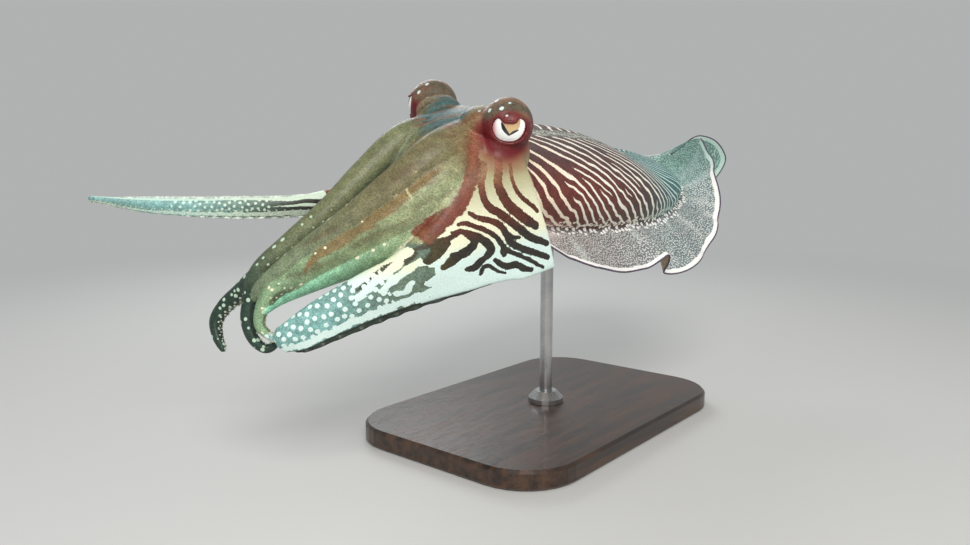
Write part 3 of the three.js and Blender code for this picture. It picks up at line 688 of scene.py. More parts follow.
class BroadArm:
    """A broad fourth arm between its upper edge and the edge of its keel."""

    def __init__(self, spec):
        self.spec = spec
        self.edge = head_points(spec["edge"])
        self.keel = head_points(spec["keel"])
        dense = catmull_rom(self.edge, np.linspace(0, 1, 400))
        self.length = np.linalg.norm(np.diff(dense, axis=0), axis=-1).sum()

    def middle(self, u):
        return (catmull_rom(self.edge, u) + catmull_rom(self.keel, u)) / 2

    def station(self, u):
        at = self.middle(u)
        ahead = unit(self.middle(np.minimum(1, u + 0.01)) - self.middle(np.maximum(0, u - 0.01)))
        across = catmull_rom(self.keel, u) - catmull_rom(self.edge, u)
        half = np.linalg.norm(across, axis=-1) / 2
        across = unit(across - ahead * (across * ahead).sum(axis=-1, keepdims=True))
        out = np.cross(ahead, across)
        return at, ahead, out, across, half, mix(*self.spec["thick"], np.clip(u, 0, 1))

    def section(self, angle, wide, thick):
        left, up = rounded(angle, wide, thick, thick, 0.8)
        return left, up * (1 - 0.55 * smoothstep(left / wide, -0.2, 1))


def arm_rings(arm, sides=56, step=1.4):
    u = np.linspace(0, 1, int(arm.length / step))
    at, ahead, out, across, wide, thick = arm.station(u)
    cap = np.linspace(0, math.pi / 2, 6)[1:-1]
    reach = np.concatenate((np.zeros(len(u)), np.sin(cap) * thick[-1] * 1.2))
    shrink = np.concatenate((np.ones(len(u)), np.cos(cap)))
    pick = np.concatenate((np.arange(len(u)), np.full(len(cap), len(u) - 1)))
    angle = np.linspace(0, 2 * math.pi, sides, endpoint=False)[None, :]
    b, a = arm.section(angle, wide[pick][:, None], thick[pick][:, None])
    b, a = (b * shrink[:, None])[..., None], (a * shrink[:, None])[..., None]
    rings = at[pick][:, None] + ahead[pick][:, None] * reach[:, None, None]
    rings = rings + across[pick][:, None] * b + out[pick][:, None] * a
    return rings, at[0], at[-1] + ahead[-1] * thick[-1] * 1.2


ARMS = {name: BundleArm(spec) for name, spec in BUNDLE_ARMS.items()}
ARMS.update({name: BroadArm(spec) for name, spec in BROAD_ARMS.items()})


def mesh_object(name, points, quads, tris=()):
    """An object from points of the body's frame, in millimetres."""
    mesh = bpy.data.meshes.new(name)
    quads = np.asarray(quads, np.int32).reshape(-1, 4)
    tris = np.asarray(tris, np.int32).reshape(-1, 3)
    mesh.vertices.add(len(points))
    mesh.vertices.foreach_set("co", (world(points) * MM).ravel())
    corners = np.concatenate((quads.ravel(), tris.ravel()))
    mesh.loops.add(len(corners))
    mesh.loops.foreach_set("vertex_index", corners)
    starts = np.concatenate((np.arange(len(quads)) * 4, quads.size + np.arange(len(tris)) * 3))
    mesh.polygons.add(len(starts))
    mesh.polygons.foreach_set("loop_start", starts)
    mesh.update(calc_edges=True)
    made = bpy.data.objects.new(name, mesh)
    bpy.context.scene.collection.objects.link(made)
    return made


def face_out(mesh):
    work = bmesh.new()
    work.from_mesh(mesh)
    bmesh.ops.recalc_face_normals(work, faces=work.faces)
    work.to_mesh(mesh)
    work.free()


def applied(made):
    """Gives an object the mesh that its modifiers make."""
    graph = bpy.context.evaluated_depsgraph_get()
    mesh = bpy.data.meshes.new_from_object(made.evaluated_get(graph))
    made.modifiers.clear()
    old = made.data
    made.data = mesh
    bpy.data.meshes.remove(old)


def open_sockets(points):
    """Sinks the skin behind the eyeballs wherever the lids are open."""
    for side in (1, -1):
        across, up, ahead = gaze_frame(side)
        away = in_head_frame(points) - along_gaze(side, 0)
        x, y, deep = away @ across * side, away @ up, away @ ahead
        at, reach, drop = LID_DIP
        top = LID_HALF_HEIGHT - drop * np.exp(-((x - at) / reach) ** 4)
        high = np.where(y > LID_SHIFT[1], top, LID_HALF_HEIGHT) * 0.97
        open_here = np.hypot((x - LID_SHIFT[0]) / (LID_HALF_WIDTH * 0.97), (y - LID_SHIFT[1]) / high)
        sunk = (1 - smoothstep(open_here, 0.9, 0.97)) * (deep > 0) * 4.5
        reach = np.linalg.norm(away, axis=-1)
        round_it = smoothstep(open_here, 0.97, 1.04) * smoothstep(deep, 2, 6) * (np.hypot(x, y) < 13)
        raised = np.clip(EYE_RADIUS + 0.5 - reach, 0, 4) * round_it / np.maximum(reach, 6)
        points += head_ways(away * raised[:, None] - ahead * sunk[:, None])


def head_and_arms():
    parts = Parts()
    head_core(parts)
    for side in (1, -1):
        parts.ball(along_gaze(side, -EYE_STANDOFF) + BULGE_SHIFT, BULGE_RADII, head_points)
        parts.ball(np.array(BROW[0]) * (1, side, 1), BROW[1], head_points)
        centre, radii = CHEEKS[side]
        parts.ball(np.array(centre), radii, head_points)
        parts.ball(np.array(EYE_BASE[0]) * (1, side, 1), EYE_BASE[1], head_points)
        lid(parts, side)
    funnel(parts)
    for arm in ARMS.values():
        parts.tube(*arm_rings(arm))
    made = mesh_object("head_and_arms", *parts.surface())
    face_out(made.data)
    melt = made.modifiers.new("melt", "REMESH")
    melt.mode = "VOXEL"
    melt.voxel_size = VOXEL * MM
    applied(made)
    places = np.empty(len(made.data.vertices) * 3)
    made.data.vertices.foreach_get("co", places)
    points = (places.reshape(-1, 3) / MM - NECK_AT) @ BODY_TURN
    open_sockets(points)
    made.data.vertices.foreach_set("co", (world(points) * MM).ravel())
    forward, left, up = in_head_frame(points).T
    cheek = smoothstep(np.abs(left), 30, 38) * window(forward, 10, 22, 70, 86)
    cheek = cheek * window(up, -34, -22, 12, 18)
    group = made.vertex_groups.new(name="cheeks")
    for share in range(1, 5):
        chosen = np.nonzero(np.ceil(cheek * 4) == share)[0]
        group.add(chosen.tolist(), share / 4, "REPLACE")
    for rounds, part in ((4, ""), (90, "cheeks")):
        ease = made.modifiers.new("ease", "SMOOTH")
        ease.factor = 0.5
        ease.iterations = rounds
        ease.vertex_group = part
    applied(made)
    return made


# Markings. Each vertex carries the colour of its ground and of its light marks,
# how far it is inside a light mark, and how large the light dots on it are.

MANTLE_PERIODS = ((-160, 16), (0, 14.5), (60, 13), (150, 9.8), (220, 6.4), (292, 4.2))
STRIPE_LEAN = 0.85
FORKS = 22
DORSAL_BAND = ((0, 4), (90, 7), (200, 11), (292, 7))
SPOT_PERIOD = 4.6
BEAD_SPACING, BEAD_RADIUS = 4.0, 1.8
DOT_SPACING, DOT_RADIUS = 1.75, 0.66
ARM_OVALS = {"left_4": (4.2, 1.55), "right_4": (3.2, 1.0)}

# Dark bands of the cheek and of the fourth arm's root, forward and up, with half widths.
CHEEK_BANDS = (
    (((32, 8), (34, 0), (33, -7), (29, -13), (24, -18), (22, -21)), 1.0, 1.2),
    (((37, 12), (41, 5), (44, -2), (43, -7), (41, -13), (36, -19), (30, -25), (25, -29)), 2.0, 2.9),
    (((47, 10), (54, 0), (55, -8), (53, -13), (48, -17), (42, -23), (36, -29), (30, -35),
        (23, -39), (18, -42)), 1.8, 2.2),
    (((66, -14), (62, -17), (55, -20), (49, -24), (46, -30), (44, -35), (38, -40), (29, -45),
        (18, -51)), 1.4, 2.0),
    (((45, -29), (41, -33), (37, -34)), 1.0, 0.9),
    (((74, -19), (70, -19), (64, -22), (59, -25), (53, -30), (50, -35), (46, -40), (40, -44),
        (31, -50), (22, -57)), 1.3, 1.2),
    (((49, -38), (49, -42)), 2.0, 2.0),
    (((79, -23), (74, -23), (69, -25), (63, -29), (59, -33), (57, -37), (60, -40)), 1.0, 2.7),
    (((71, -25), (67, -30), (71, -34), (77, -36), (81, -36)), 1.8, 2.4),
    (((76, -24), (82, -26), (87, -27), (94, -29), (101, -31), (107, -34)), 1.3, 1.2),
    (((61, -41), (65, -43), (69, -46), (73, -46)), 2.0, 1.8),
    (((55, -44), (51, -48), (47, -50), (42, -50), (36, -54), (31, -56)), 1.6, 1.8),
    (((65, -51), (63, -47), (59, -47), (55, -51), (49, -54)), 1.3, 0.8),
    (((95, -37), (91, -34), (87, -31), (83, -28)), 2.5, 2.3),
    (((87, -42), (82, -39), (78, -38)), 2.1, 1.9),
    (((106, -37), (103, -34), (100, -32)), 2.1, 2.1),
    (((122, -41), (117, -38), (111, -36), (109, -36)), 1.9, 1.6),
    (((133, -50), (125, -45), (116, -40), (110, -38)), 1.2, 1.2),
)
FACE_BAND = ((47, 17), (52, 11), (59, 3), (65, -4), (71, -10), (77, -14), (83, -18), (88, -21),
    (92, -24))
FACE_BAND_HALF = 3.4
SECOND_ARM_BAND = ((65, 20), (74, 12), (82, 6), (92, 0), (101, -7), (113, -15), (129, -25),
    (143, -33), (155, -42), (165, -52))
SECOND_ARM_BAND_HALF = 2.1
ARM_LINES = (
    (((101, -31), (107, -34), (113, -36), (122, -40), (133, -47)), 1.4),
    (((108, -36), (116, -42), (122, -45), (128, -50), (134, -54)), 1.8),
    (((99, -37), (103, -39), (111, -44), (116, -47), (121, -52)), 1.9),
    (((105, -49), (109, -54), (114, -54)), 1.8),
)
BULGE_SPOTS = ((31, 47, 37), (30, 42, 40), (33, 35, 38), (34, 26, 37), (24, 43, 43), (27, 34, 43))


def tint(red, green, blue):
    """A linear colour from the one that a screen shows."""
    c = np.array((red, green, blue)) / 255
    return np.where(c < 0.04, c / 12.92, ((c + 0.055) / 1.055) ** 2.4)


BELLY = tint(206, 194, 186)
# Painted highlight: a pale pink that stands in for light on the front of the fins and the mantle beside
# them.
PAINTED_HIGHLIGHT = tint(236, 214, 212)
MAROON = tint(86, 14, 22)
SEA_WHITE = tint(222, 244, 238)


class Ripple:
    """Smooth noise on a plane, from waves of random direction and length."""

    def __init__(self, seed, shortest, longest, count=14):
        pick = np.random.default_rng(seed)
        way = pick.uniform(0, 2 * math.pi, count)
        pace = 2 * math.pi / np.exp(pick.uniform(math.log(shortest), math.log(longest), count))
        start = pick.uniform(0, 2 * math.pi, count)
        self.waves = np.stack((np.cos(way) * pace, np.sin(way) * pace, start))

    def __call__(self, x, y):
        total = 0
        for a, b, c in self.waves.T:
            total = total + np.sin(a * x + b * y + c)
        return total / math.sqrt(self.waves.shape[1] / 2)


def give(mesh, name, kind, field, values):
    """Stores one value for each point of a mesh."""
    mesh.attributes.new(name, kind, "POINT").data.foreach_set(field, np.ravel(values))


class Paint:
    """Colours and marks for the points of one mesh."""

    def __init__(self, count, ground, light):
        self.ground = np.tile(ground, (count, 1))
        self.light = np.tile(light, (count, 1))
        self.patch = np.zeros((count, 3))
        self.marks = np.full(count, -1.0)
        self.spots = np.full(count, -0.2)
        self.dots = np.full(count, -1.0)

    def lay(self, colour, share):
        self.ground += (colour - self.ground) * np.clip(share, 0, 1)[:, None]

    def lay_light(self, colour, share):
        self.light += (colour - self.light) * np.clip(share, 0, 1)[:, None]

    def store(self, mesh):
        for name in ("ground", "light"):
            colour = np.ones((len(self.marks), 4))
            colour[:, :3] = getattr(self, name)
            give(mesh, name, "FLOAT_COLOR", "color", colour)
        give(mesh, "patch", "FLOAT_VECTOR", "vector", self.patch)
        for name in ("marks", "spots", "dots"):
            give(mesh, name, "FLOAT", "value", getattr(self, name))


def to_curve(curve, x, y):
    """Distance to a curve on the plane, and how far along it the nearest point is."""
    steps = 10 * len(curve)
    knots = catmull_rom(curve, np.linspace(0, 1, steps))
    best = np.full(len(x), 1e9)
    where = np.zeros(len(x))
    for k in range(steps - 1):
        (ax, ay), (bx, by) = knots[k], knots[k + 1]
        length = (bx - ax) ** 2 + (by - ay) ** 2
        t = np.clip(((x - ax) * (bx - ax) + (y - ay) * (by - ay)) / length, 0, 1)
        gap = np.hypot(x - ax - t * (bx - ax), y - ay - t * (by - ay))
        closer = gap < best
        best = np.where(closer, gap, best)
        where = np.where(closer, (k + t) / (steps - 1), where)
    return best, where


def girth(back, angle):
    """Distance round the mantle from the middle of the back."""
    a = np.linspace(0, math.pi / 2, 200)

    def reach(high):
        x, y = rounded(a, 1.0, high, high, MANTLE_SQUARENESS)
        steps = np.hypot(np.diff(x), np.diff(y))
        return np.concatenate(([0], np.cumsum(steps)))

    width = mantle_section(back)[0]
    over = reach(MANTLE_DORSAL_HEIGHT / MANTLE_HALF_WIDTH)
    under = reach(MANTLE_VENTRAL_DEPTH / MANTLE_HALF_WIDTH)
    turned = np.where(np.cos(angle) >= 0, angle, math.pi - angle)
    turned = (turned + math.pi) % (2 * math.pi) - math.pi
    top = over[-1] - np.interp(np.maximum(turned, 0), a, over)
    return width * (top + np.interp(np.maximum(-turned, 0), a, under))


def stripe_shift(back, round_it):
    """How far back a stripe has run at a distance round the mantle."""
    low = np.maximum(round_it - 46, 0) ** 2 / 70 * mix(1, 0.4, back / MANTLE_LENGTH)
    front = 26 * (1 - np.exp(-round_it / 24)) * np.exp(-back / 40)
    return STRIPE_LEAN * round_it + low + front + 0.8 * round_it * smoothstep(back, 190, 285)


def mantle_marks(back, round_it, side):
    """How far inside a light stripe a point of the mantle is; above 0 is light."""
    shift = stripe_shift(back, round_it)
    at = np.linspace(-200, 300, 1001)
    turns = np.cumsum(0.5 / along(MANTLE_PERIODS, at))
    wander = Ripple(11 + side, 30, 90)(back, round_it) * 0.11
    wander = wander + Ripple(21 + side, 9, 22)(back, round_it) * 0.045
    phase = np.interp(back - shift, at, turns) + wander
    pick = np.random.default_rng(5 + side)
    knot = np.zeros_like(back)
    fork = np.zeros_like(back)
    for k in range(FORKS):
        s = pick.uniform(20, 275)
        low = k % 3 > 0
        half = mantle_section(s)[0]
        q = half * (pick.uniform(0.85, 1.12) if low else pick.uniform(0.25, 0.8))
        here = np.interp(s - stripe_shift(s, q), at, turns)
        pace = along(MANTLE_PERIODS, s - 50)
        x, y = (phase - here) * pace, round_it - q
        sign = (-1, 1, -1, -1)[k % 4] if low else pick.choice((-1, 1))
        knot += sign * np.arctan2(y, x) / (2 * math.pi)
        fork -= 0.6 * np.exp(-(x * x + y * y) / (pace * 0.3) ** 2)
    return np.cos(2 * math.pi * (phase + knot)) + fork


def scattered(points, chosen, spacing, seed):
    """Distance from the chosen points to the nearest of some centres that keep apart."""
    pick = np.random.default_rng(seed)
    ids = np.nonzero(chosen)[0]
    tree = KDTree(len(ids))
    for k, place in enumerate(points[ids]):
        tree.insert(place, k)
    tree.balance()
    free = np.ones(len(ids), bool)
    gaps = np.full(len(points), 9.0)
    for k in pick.permutation(len(ids)):
        if free[k]:
            centre = points[ids[k]] + pick.uniform(-0.3, 0.3, 3)
            free[k] = False
            for _, near, gap in tree.find_range(centre, spacing):
                free[near] = False
                gaps[ids[near]] = min(gaps[ids[near]], gap)
    return gaps


def paint_torso(mesh, facts, points):
    back, angle, reach, side, face = facts.T
    side = np.where(side < 0, -1.0, 1.0)
    side[(face == 0) & (np.abs(np.cos(angle)) < 1e-6)] = 1
    round_it = girth(back, angle)
    root_round = girth(back, fin_root_angle(back))
    paint = Paint(len(back), tint(82, 56, 54), tint(253, 248, 232))
    fin = (face == 1) | (face == 2)
    above = root_round - round_it
    fine = Ripple(3, 6, 25)(back, round_it)

    reddish = (1 - smoothstep(back, 50, 150)) * smoothstep(round_it, 25, 70)
    paint.lay(tint(122, 50, 40), reddish * 0.6)
    paint.lay(tint(66, 54, 62), smoothstep(back, 110, 190) * 0.85)
    paint.lay(tint(66, 112, 112), smoothstep(back, 120, 225) * 0.9)
    paint.lay_light(tint(200, 240, 236), smoothstep(back, 140, 220) * 0.9)
    paint.lay_light(tint(255, 235, 210), 1 - smoothstep(back, 10, 80))

    band = along(DORSAL_BAND, back) + fine * 1.2
    spine = 1 - smoothstep(round_it, band - 4, band + 3)
    paint.lay(tinted(tint(104, 112, 106), tint(92, 132, 128), smoothstep(back, 120, 240)), spine * 0.9)
    marks = np.where(side > 0, mantle_marks(back, round_it, 1), mantle_marks(back, round_it, -1))
    level = mix(0.64, 0.5, smoothstep(back, 120, 290)) - 0.1 * smoothstep(round_it, 30, 60)
    level = level + 1.3 * (1 - smoothstep(round_it, band - 4, band + 3))
    level = level + 1.6 * (1 - smoothstep(above, 3, 8))
    paint.marks = np.where(face == 0, marks - level, -1.0)
    out_all = reach * np.where(side > 0, fin_width(back, 1), fin_width(back, -1))
    drop = np.where(fin, out_all, -above)
    beads = (drop > -11 + 2 * fine) & (drop < 8 + fine) & (face < 2) & (back > 12)
    beads = np.clip((BEAD_RADIUS - scattered(points, beads, BEAD_SPACING, 61)) / 0.7, -1, 1)
    dotted = (face == 1) & (drop > 6 + fine)
    dotted |= (face == 0) & (spine > 0.4)
    paint.dots = DOT_RADIUS - scattered(points, dotted, DOT_SPACING, 62)
    under = (face == 0) & (above < 0)
    paint.lay(BELLY, under * smoothstep(-above, 0, 10))
    beads = np.where(under, beads - 1.4 * smoothstep(-above, 1, 5), beads)
    paint.marks = np.maximum(paint.marks, np.where(face == 0, beads, -1))

    for one in (1, -1):
        pick = fin & (side == one)
        wide = fin_width(back[pick], one)
        out = wide * reach[pick]
        rim = wide - out
        top = face[pick] == 1
        at = back[pick]
        ground = tinted(tint(128, 122, 120), tint(122, 136, 136), smoothstep(at, 60, 190))
        teal = smoothstep(at, 235, 289) * (0.9 if one < 0 else 0.45)
        ground = tinted(ground, tint(120, 160, 150), teal)
        ground = tinted(tint(92, 62, 60), ground, smoothstep(out, 0, 8))
        streak = smoothstep(fine[pick] * 0.6 + Ripple(31, 10, 30)(at, out * 0.25), 1.1, 2.4)
        ground = tinted(ground, tint(178, 184, 180), streak * 0.6)
        belly = tinted(BELLY, tint(178, 156, 124), smoothstep(out, 6, 26))
        if one < 0:
            belly = tinted(belly, tint(112, 146, 138), smoothstep(at, 200, 240))
        shaded = 1 - smoothstep(rim, 0.4, 1.2)
        paint.ground[pick] = tinted(np.where(top[:, None], ground, belly), tint(92, 78, 98), shaded)
        width = 2.6 + 1.0 * smoothstep(at, 120, 220) + 0.25 * fine[pick]
        edge = np.minimum((rim - 0.7) / 0.7, (width + 0.7 - rim) / 0.7)
        paint.marks[pick] = np.where(top, np.maximum(np.clip(edge, -1, 1), beads[pick]), -1)
        paint.light[pick] = tinted(tint(255, 253, 250), tint(196, 226, 216), smoothstep(at, 262, 284))
        paint.dots[pick] = np.where(top & (rim > 2), paint.dots[pick], -1)
        # Painted highlight on the front of the fin's root.
        near = np.exp(-((at - 22) / 16) ** 2) * (1 - smoothstep(out, 10, 22)) * 0.9
        paint.ground[pick] = tinted(paint.ground[pick], PAINTED_HIGHLIGHT, near)
    # Painted highlight on the mantle round the front of the fin roots.
    flesh = (face == 0) & (above < 16) & (above > -6)
    near = np.exp(-((back - 20) / 14) ** 2) * (1 - smoothstep(np.abs(above), 8, 16)) * 0.85
    paint.lay(PAINTED_HIGHLIGHT, near * flesh)
    inside = face == 3
    paint.ground[inside] = tint(178, 142, 104)
    paint.marks[inside] = -1

    paint.patch = np.array(points)
    paint.store(mesh)


def paint_head(mesh, points):
    f, l, u = in_head_frame(points).T
    side = np.where(l < 0, -1.0, 1.0)
    wide = np.abs(l)
    paint = Paint(len(f), tint(146, 138, 96), tint(238, 232, 200))
    paint.patch = np.array(points)
    mottle = Ripple(41, 9, 30)(f + l, u - l)
    fleck = Ripple(42, 3, 8)(f + l, u - l)

    # Which arm a point is on, how far along it, and where round it.
    near_arm = np.full(len(f), 1e9)
    arm_id = np.full(len(f), -1)
    gone = np.zeros(len(f))
    over = np.zeros(len(f))
    outer = np.zeros(len(f))
    rows = np.nonzero(f > 24)[0]
    for k, arm in enumerate(ARMS.values()):
        u_at = np.linspace(0, 1, 90)
        at, ahead, out, across, half, thick = arm.station(u_at)
        for part in np.array_split(rows, max(1, len(rows) // 20000)):
            gap = ((points[part][:, None] - at[None]) ** 2).sum(axis=-1)
            best = gap.argmin(axis=1)
            away = points[part] - at[best]
            x = (away * across[best]).sum(axis=-1) / half[best]
            y = (away * out[best]).sum(axis=-1) / thick[best]
            z = (away * ahead[best]).sum(axis=-1) / half[best]
            size = np.sqrt(x * x + y * y + 0.3 * z * z)
            closer = size < near_arm[part]
            chosen = part[closer]
            near_arm[chosen] = size[closer]
            arm_id[chosen] = k
            gone[chosen] = u_at[best][closer]
            over[chosen] = x[closer]
            outer[chosen] = y[closer]
    names = list(ARMS)
    on = {name: (arm_id == k) & (near_arm < 1.35) for k, name in enumerate(names)}
    grown = smoothstep(f, 52, 66)

    # Head: teal grey above, olive at the sides, pale below, brown towards the arms.
    paint.lay(tint(128, 112, 78), smoothstep(u, -6, 10) * (1 - smoothstep(f, 76, 104)))
    paint.lay(tint(62, 90, 88), smoothstep(u, 14, 24) * (1 - smoothstep(wide, 12, 26)))
    paint.lay(tint(118, 84, 58), smoothstep(mottle, 0.1, 1.3) * smoothstep(u, -2, 16) * 0.75)
    paint.lay(tint(176, 184, 146), smoothstep(f, 54, 64) * window(u, -34, -24, -2, 10) * 0.8)
    crown = smoothstep(u, 10, 20) * (1 - smoothstep(wide, 24, 36))
    paint.lay(tint(58, 54, 48), smoothstep(fleck, 1.3, 2.0) * crown)
    paint.lay(tint(222, 212, 196), smoothstep(-u, 28, 44))
    paint.lay(tint(172, 112, 48), (1 - smoothstep(f, 8, 20)) * smoothstep(u, -40, -10))

    # Arms: olive green, paler and greener towards the tips, pale inside.
    looks = {
        "left_1": ((112, 106, 74), (116, 132, 104)), "left_2": ((134, 146, 108), (130, 160, 124)),
        "left_3": ((146, 166, 126), (148, 212, 178)), "right_1": ((112, 116, 82), (80, 98, 76)),
        "right_2": ((84, 94, 76), (46, 64, 54)), "right_3": ((100, 110, 88), (100, 118, 98)),
        "right_4": ((70, 70, 66), (150, 168, 158)), "left_4": ((148, 150, 110), (120, 150, 140)),
    }
    for name, (root, tip) in looks.items():
        pick = on[name]
        share = pick * grown
        colour = tinted(tint(*root), tint(*tip), smoothstep(gone, 0.35, 0.95))
        root_share = smoothstep(gone, 0.3, 0.5) if name in ("left_3", "left_4", "left_2") else 1
        paint.lay(colour, share * mix(0.55, 1, root_share))
        broad = name in BROAD_ARMS
        if broad:
            inside = 1 - smoothstep(outer * -ARMS[name].spec["oral"], -0.2, 0.2)
        else:
            inside = smoothstep(-outer, 0.2, 0.5)
        pale = tint(214, 200, 176) if broad or name == "left_3" else tint(110, 118, 92)
        paint.lay(pale, share * inside * 0.9)
        if not broad:
            margin = np.exp(-((np.abs(over) - 0.86) / 0.16) ** 2) * (outer > -0.4)
            spots = 0.36 * margin * smoothstep(gone, 0.3, 0.6) - 0.02
            paint.spots = np.where(pick & (f > 70), spots, paint.spots)
            ridge = np.exp(-(over / 0.3) ** 2) * (outer > 0)
            paint.lay(tint(92, 70, 44), share * ridge * smoothstep(mottle, -0.4, 1.0) * 0.5)
    for name in ("right_1", "right_2"):
        dark = on[name] * smoothstep(gone, 0.66, 0.8) > 0.5
        paint.spots = np.where(dark, 0.28, paint.spots)
        paint.lay(tint(44, 64, 54), on[name] * smoothstep(gone, 0.62, 0.8))
        paint.lay_light(tint(190, 214, 192), on[name])

    # Cheeks and the roots of the fourth arms: dark bands on cream, white lower down.
    bound = np.interp(u, (-28, -24, -17, -11, -2, 8, 16), (97, 90, 79, 70, 64, 57, 47))
    fourth = on["left_4"] | on["right_4"]
    cheek = (smoothstep(wide, 26, 38) * (f < bound) * (u < 16) * (u > -29)) > 0.5
    cheek |= (u <= -22) & (wide > 38) & (f < 62)
    crest = np.interp(f, (58, 70, 76, 82, 87, 94, 101, 107), (-10, -18, -21.5, -23.5, -25, -27, -29, -32))
    cheek |= on["left_4"] & (f > 40) & ((u < crest) | (f > 107) | (f < bound) & (u < 16))
    cheek &= (f > 12)
    zone = np.nonzero(cheek & (l > 0) | cheek & (l < 0) & ~on["right_4"] & (f < 60))[0]
    zf, zu = f[zone], u[zone]
    wave = 0.12 * fleck[zone]
    bands = np.full(len(zone), 9.0)
    for curve, first, last in CHEEK_BANDS:
        gap, where = to_curve(curve, zf, zu)
        half = mix(first, last, where) * (0.95 + 0.4 * np.sin(math.pi * where))
        bands = np.minimum(bands, gap - half - wave)
    cream = tinted(tint(168, 162, 122), tint(238, 238, 208), smoothstep(-zu, -8, 24))
    cream = tinted(cream, SEA_WHITE, smoothstep(-zu, 28, 42))
    dark = tinted(tint(136, 88, 60), tint(88, 48, 36), smoothstep(-zu, -8, 10))
    dark = tinted(dark, tint(50, 46, 40), smoothstep(-zu, 20, 32))
    dark = tinted(dark, tint(82, 72, 40), smoothstep(zf, 74, 90) * 0.6)
    bands_at = np.full(len(f), 9.0)
    bands_at[zone] = bands
    paint.light[zone] = cream
    paint.ground[zone] = tinted(mix(cream, dark, 0.55), dark, smoothstep(-zu, -14, 2))
    paint.marks[zone] = np.clip(bands / 1.4, -1, 1)

    # The fourth arm beyond its root: grey teal with pale lines, ovals and lower margin; on the near arm
    # that margin is darkened as painted shade.
    for name in ("left_4", "right_4"):
        near = name == "left_4"
        arm = np.nonzero(on[name] & (f > (92 if near else 46)))[0]
        af, au, t = f[arm], u[arm], over[arm]
        ground = tinted(tint(108, 128, 112), tint(126, 172, 168), smoothstep(gone[arm], 0.45, 0.75))
        ground = tinted(ground, tint(64, 62, 44), np.clip(-bands_at[arm], 0, 1) * near)
        light = tinted(tint(232, 238, 208), tint(192, 244, 240), smoothstep(gone[arm], 0.5, 0.75))
        lines = np.full(len(arm), -1.0)
        if near:
            for curve, half in ARM_LINES:
                gap, _ = to_curve(curve, af, au)
                lines = np.maximum(lines, (half - gap + 0.3 * fleck[arm]) / 1.4)
            fingers = 5.5 * np.sin(0.5 * au + 0.05 * af) + 1.2 * mottle[arm]
            fade = smoothstep(af + fingers, 90, 98)
            light = tinted(light, SEA_WHITE, smoothstep(-au, 38, 48))
        else:
            stripes = np.cos(2 * math.pi * (t * 1.7 + 0.1 * mottle[arm] + 0.2)) - 0.25
            lines = stripes - 1.4 * smoothstep(gone[arm], 0.42, 0.58)
            ground = tinted(tint(52, 50, 48), ground, smoothstep(gone[arm], 0.4, 0.6))
            light = mix(tint(206, 228, 212), light, 0.3)
            fade = np.ones(len(arm))
        # Band along the lower margin; on the near arm it is darkened below as painted shade.
        shaded_margin = smoothstep(t, 0.86, 0.93)
        outside = np.ones(len(arm))
        lines = np.maximum(lines, np.minimum(t - 0.52, 0.86 - t) * 9 + 0.25 * fleck[arm])
        if near:
            outside = smoothstep(outer[arm] * -ARMS[name].spec["oral"], -0.25, 0.05)
            # Painted shade: the near arm's lower margin is darkened to stand in for its underside in
            # shadow.
            ground = tinted(ground, tint(52, 62, 52), shaded_margin)
            ground = tinted(tint(206, 198, 178), ground, outside)
        else:
            lines = np.maximum(lines, (-0.72 - t) * 9)
        paint.ground[arm] = tinted(paint.ground[arm], ground, fade)
        paint.light[arm] = tinted(paint.light[arm], light, fade)
        shown = np.where(fade > 0.5, np.clip(lines, -1, 1), paint.marks[arm])
        paint.marks[arm] = np.clip(mix(shown, -1.0, 1 - outside), -1, 1)
        ovals = np.zeros(len(f), bool)
        ovals[arm] = (gone[arm] > 0.5) & (shaded_margin < 0.1) & (outside > 0.5) & (lines < 0)
        if not near:
            ovals[arm] &= gone[arm] < 0.74
        apart, size = ARM_OVALS[name]
        gaps = scattered(points, ovals, apart, 63)[arm]
        paint.marks[arm] = np.maximum(paint.marks[arm], np.clip((size - gaps) / 0.8, -1, 1))
        paint.spots[arm] = -0.2

    # Face: the wide maroon band, the second arm's gold brown one, thin pale lines.
    face = np.nonzero((wide > 14) & (f > 30) & (u > -40))[0]
    gap_band, where = to_curve(FACE_BAND, f[face], u[face])
    band = 1 - smoothstep(gap_band + 0.3 * fleck[face], FACE_BAND_HALF * 0.8, FACE_BAND_HALF * 1.15)
    brown = tinted(tint(126, 82, 58), tint(116, 60, 44), smoothstep(where, 0.15, 0.45))
    brown = tinted(brown, tint(120, 74, 50), smoothstep(where, 0.8, 1))
    outside = (outer[face] > -0.3) | (f[face] < 66) | fourth[face]
    band = band * outside
    paint.ground[face] = tinted(paint.ground[face], brown, band)
    paint.light[face] = tinted(paint.light[face], brown, band)
    paint.marks[face] = mix(paint.marks[face], -1.0, band)
    others = fourth | on["left_3"] | on["right_3"] | on["left_1"] | on["right_1"]
    second = np.nonzero((wide > 4) & (f > 60) & ~others)[0]
    gap, where = to_curve(SECOND_ARM_BAND, f[second], u[second])
    gap = (gap + 0.5 * fleck[second]) / SECOND_ARM_BAND_HALF
    gold = 1 - smoothstep(gap, 0.5, 1.5)
    paint.ground[second] = tinted(paint.ground[second], tint(122, 92, 52), gold * 0.8)
    thread = 0.13 - np.abs(Ripple(71, 9, 20)(f[face], u[face]))
    where = window(f[face], 56, 66, 90, 104) * window(u[face], -24, -12, 4, 14)
    broken = smoothstep(Ripple(72, 8, 16)(u[face], f[face]), -0.2, 0.7)
    broken = broken * (gap_band > 5) * (paint.marks[face] < 0)
    thin_line = smoothstep(thread, -0.05, 0.06) * where * broken * outside
    paint.ground[face] = tinted(paint.ground[face], tint(226, 222, 176), thin_line * 0.6)

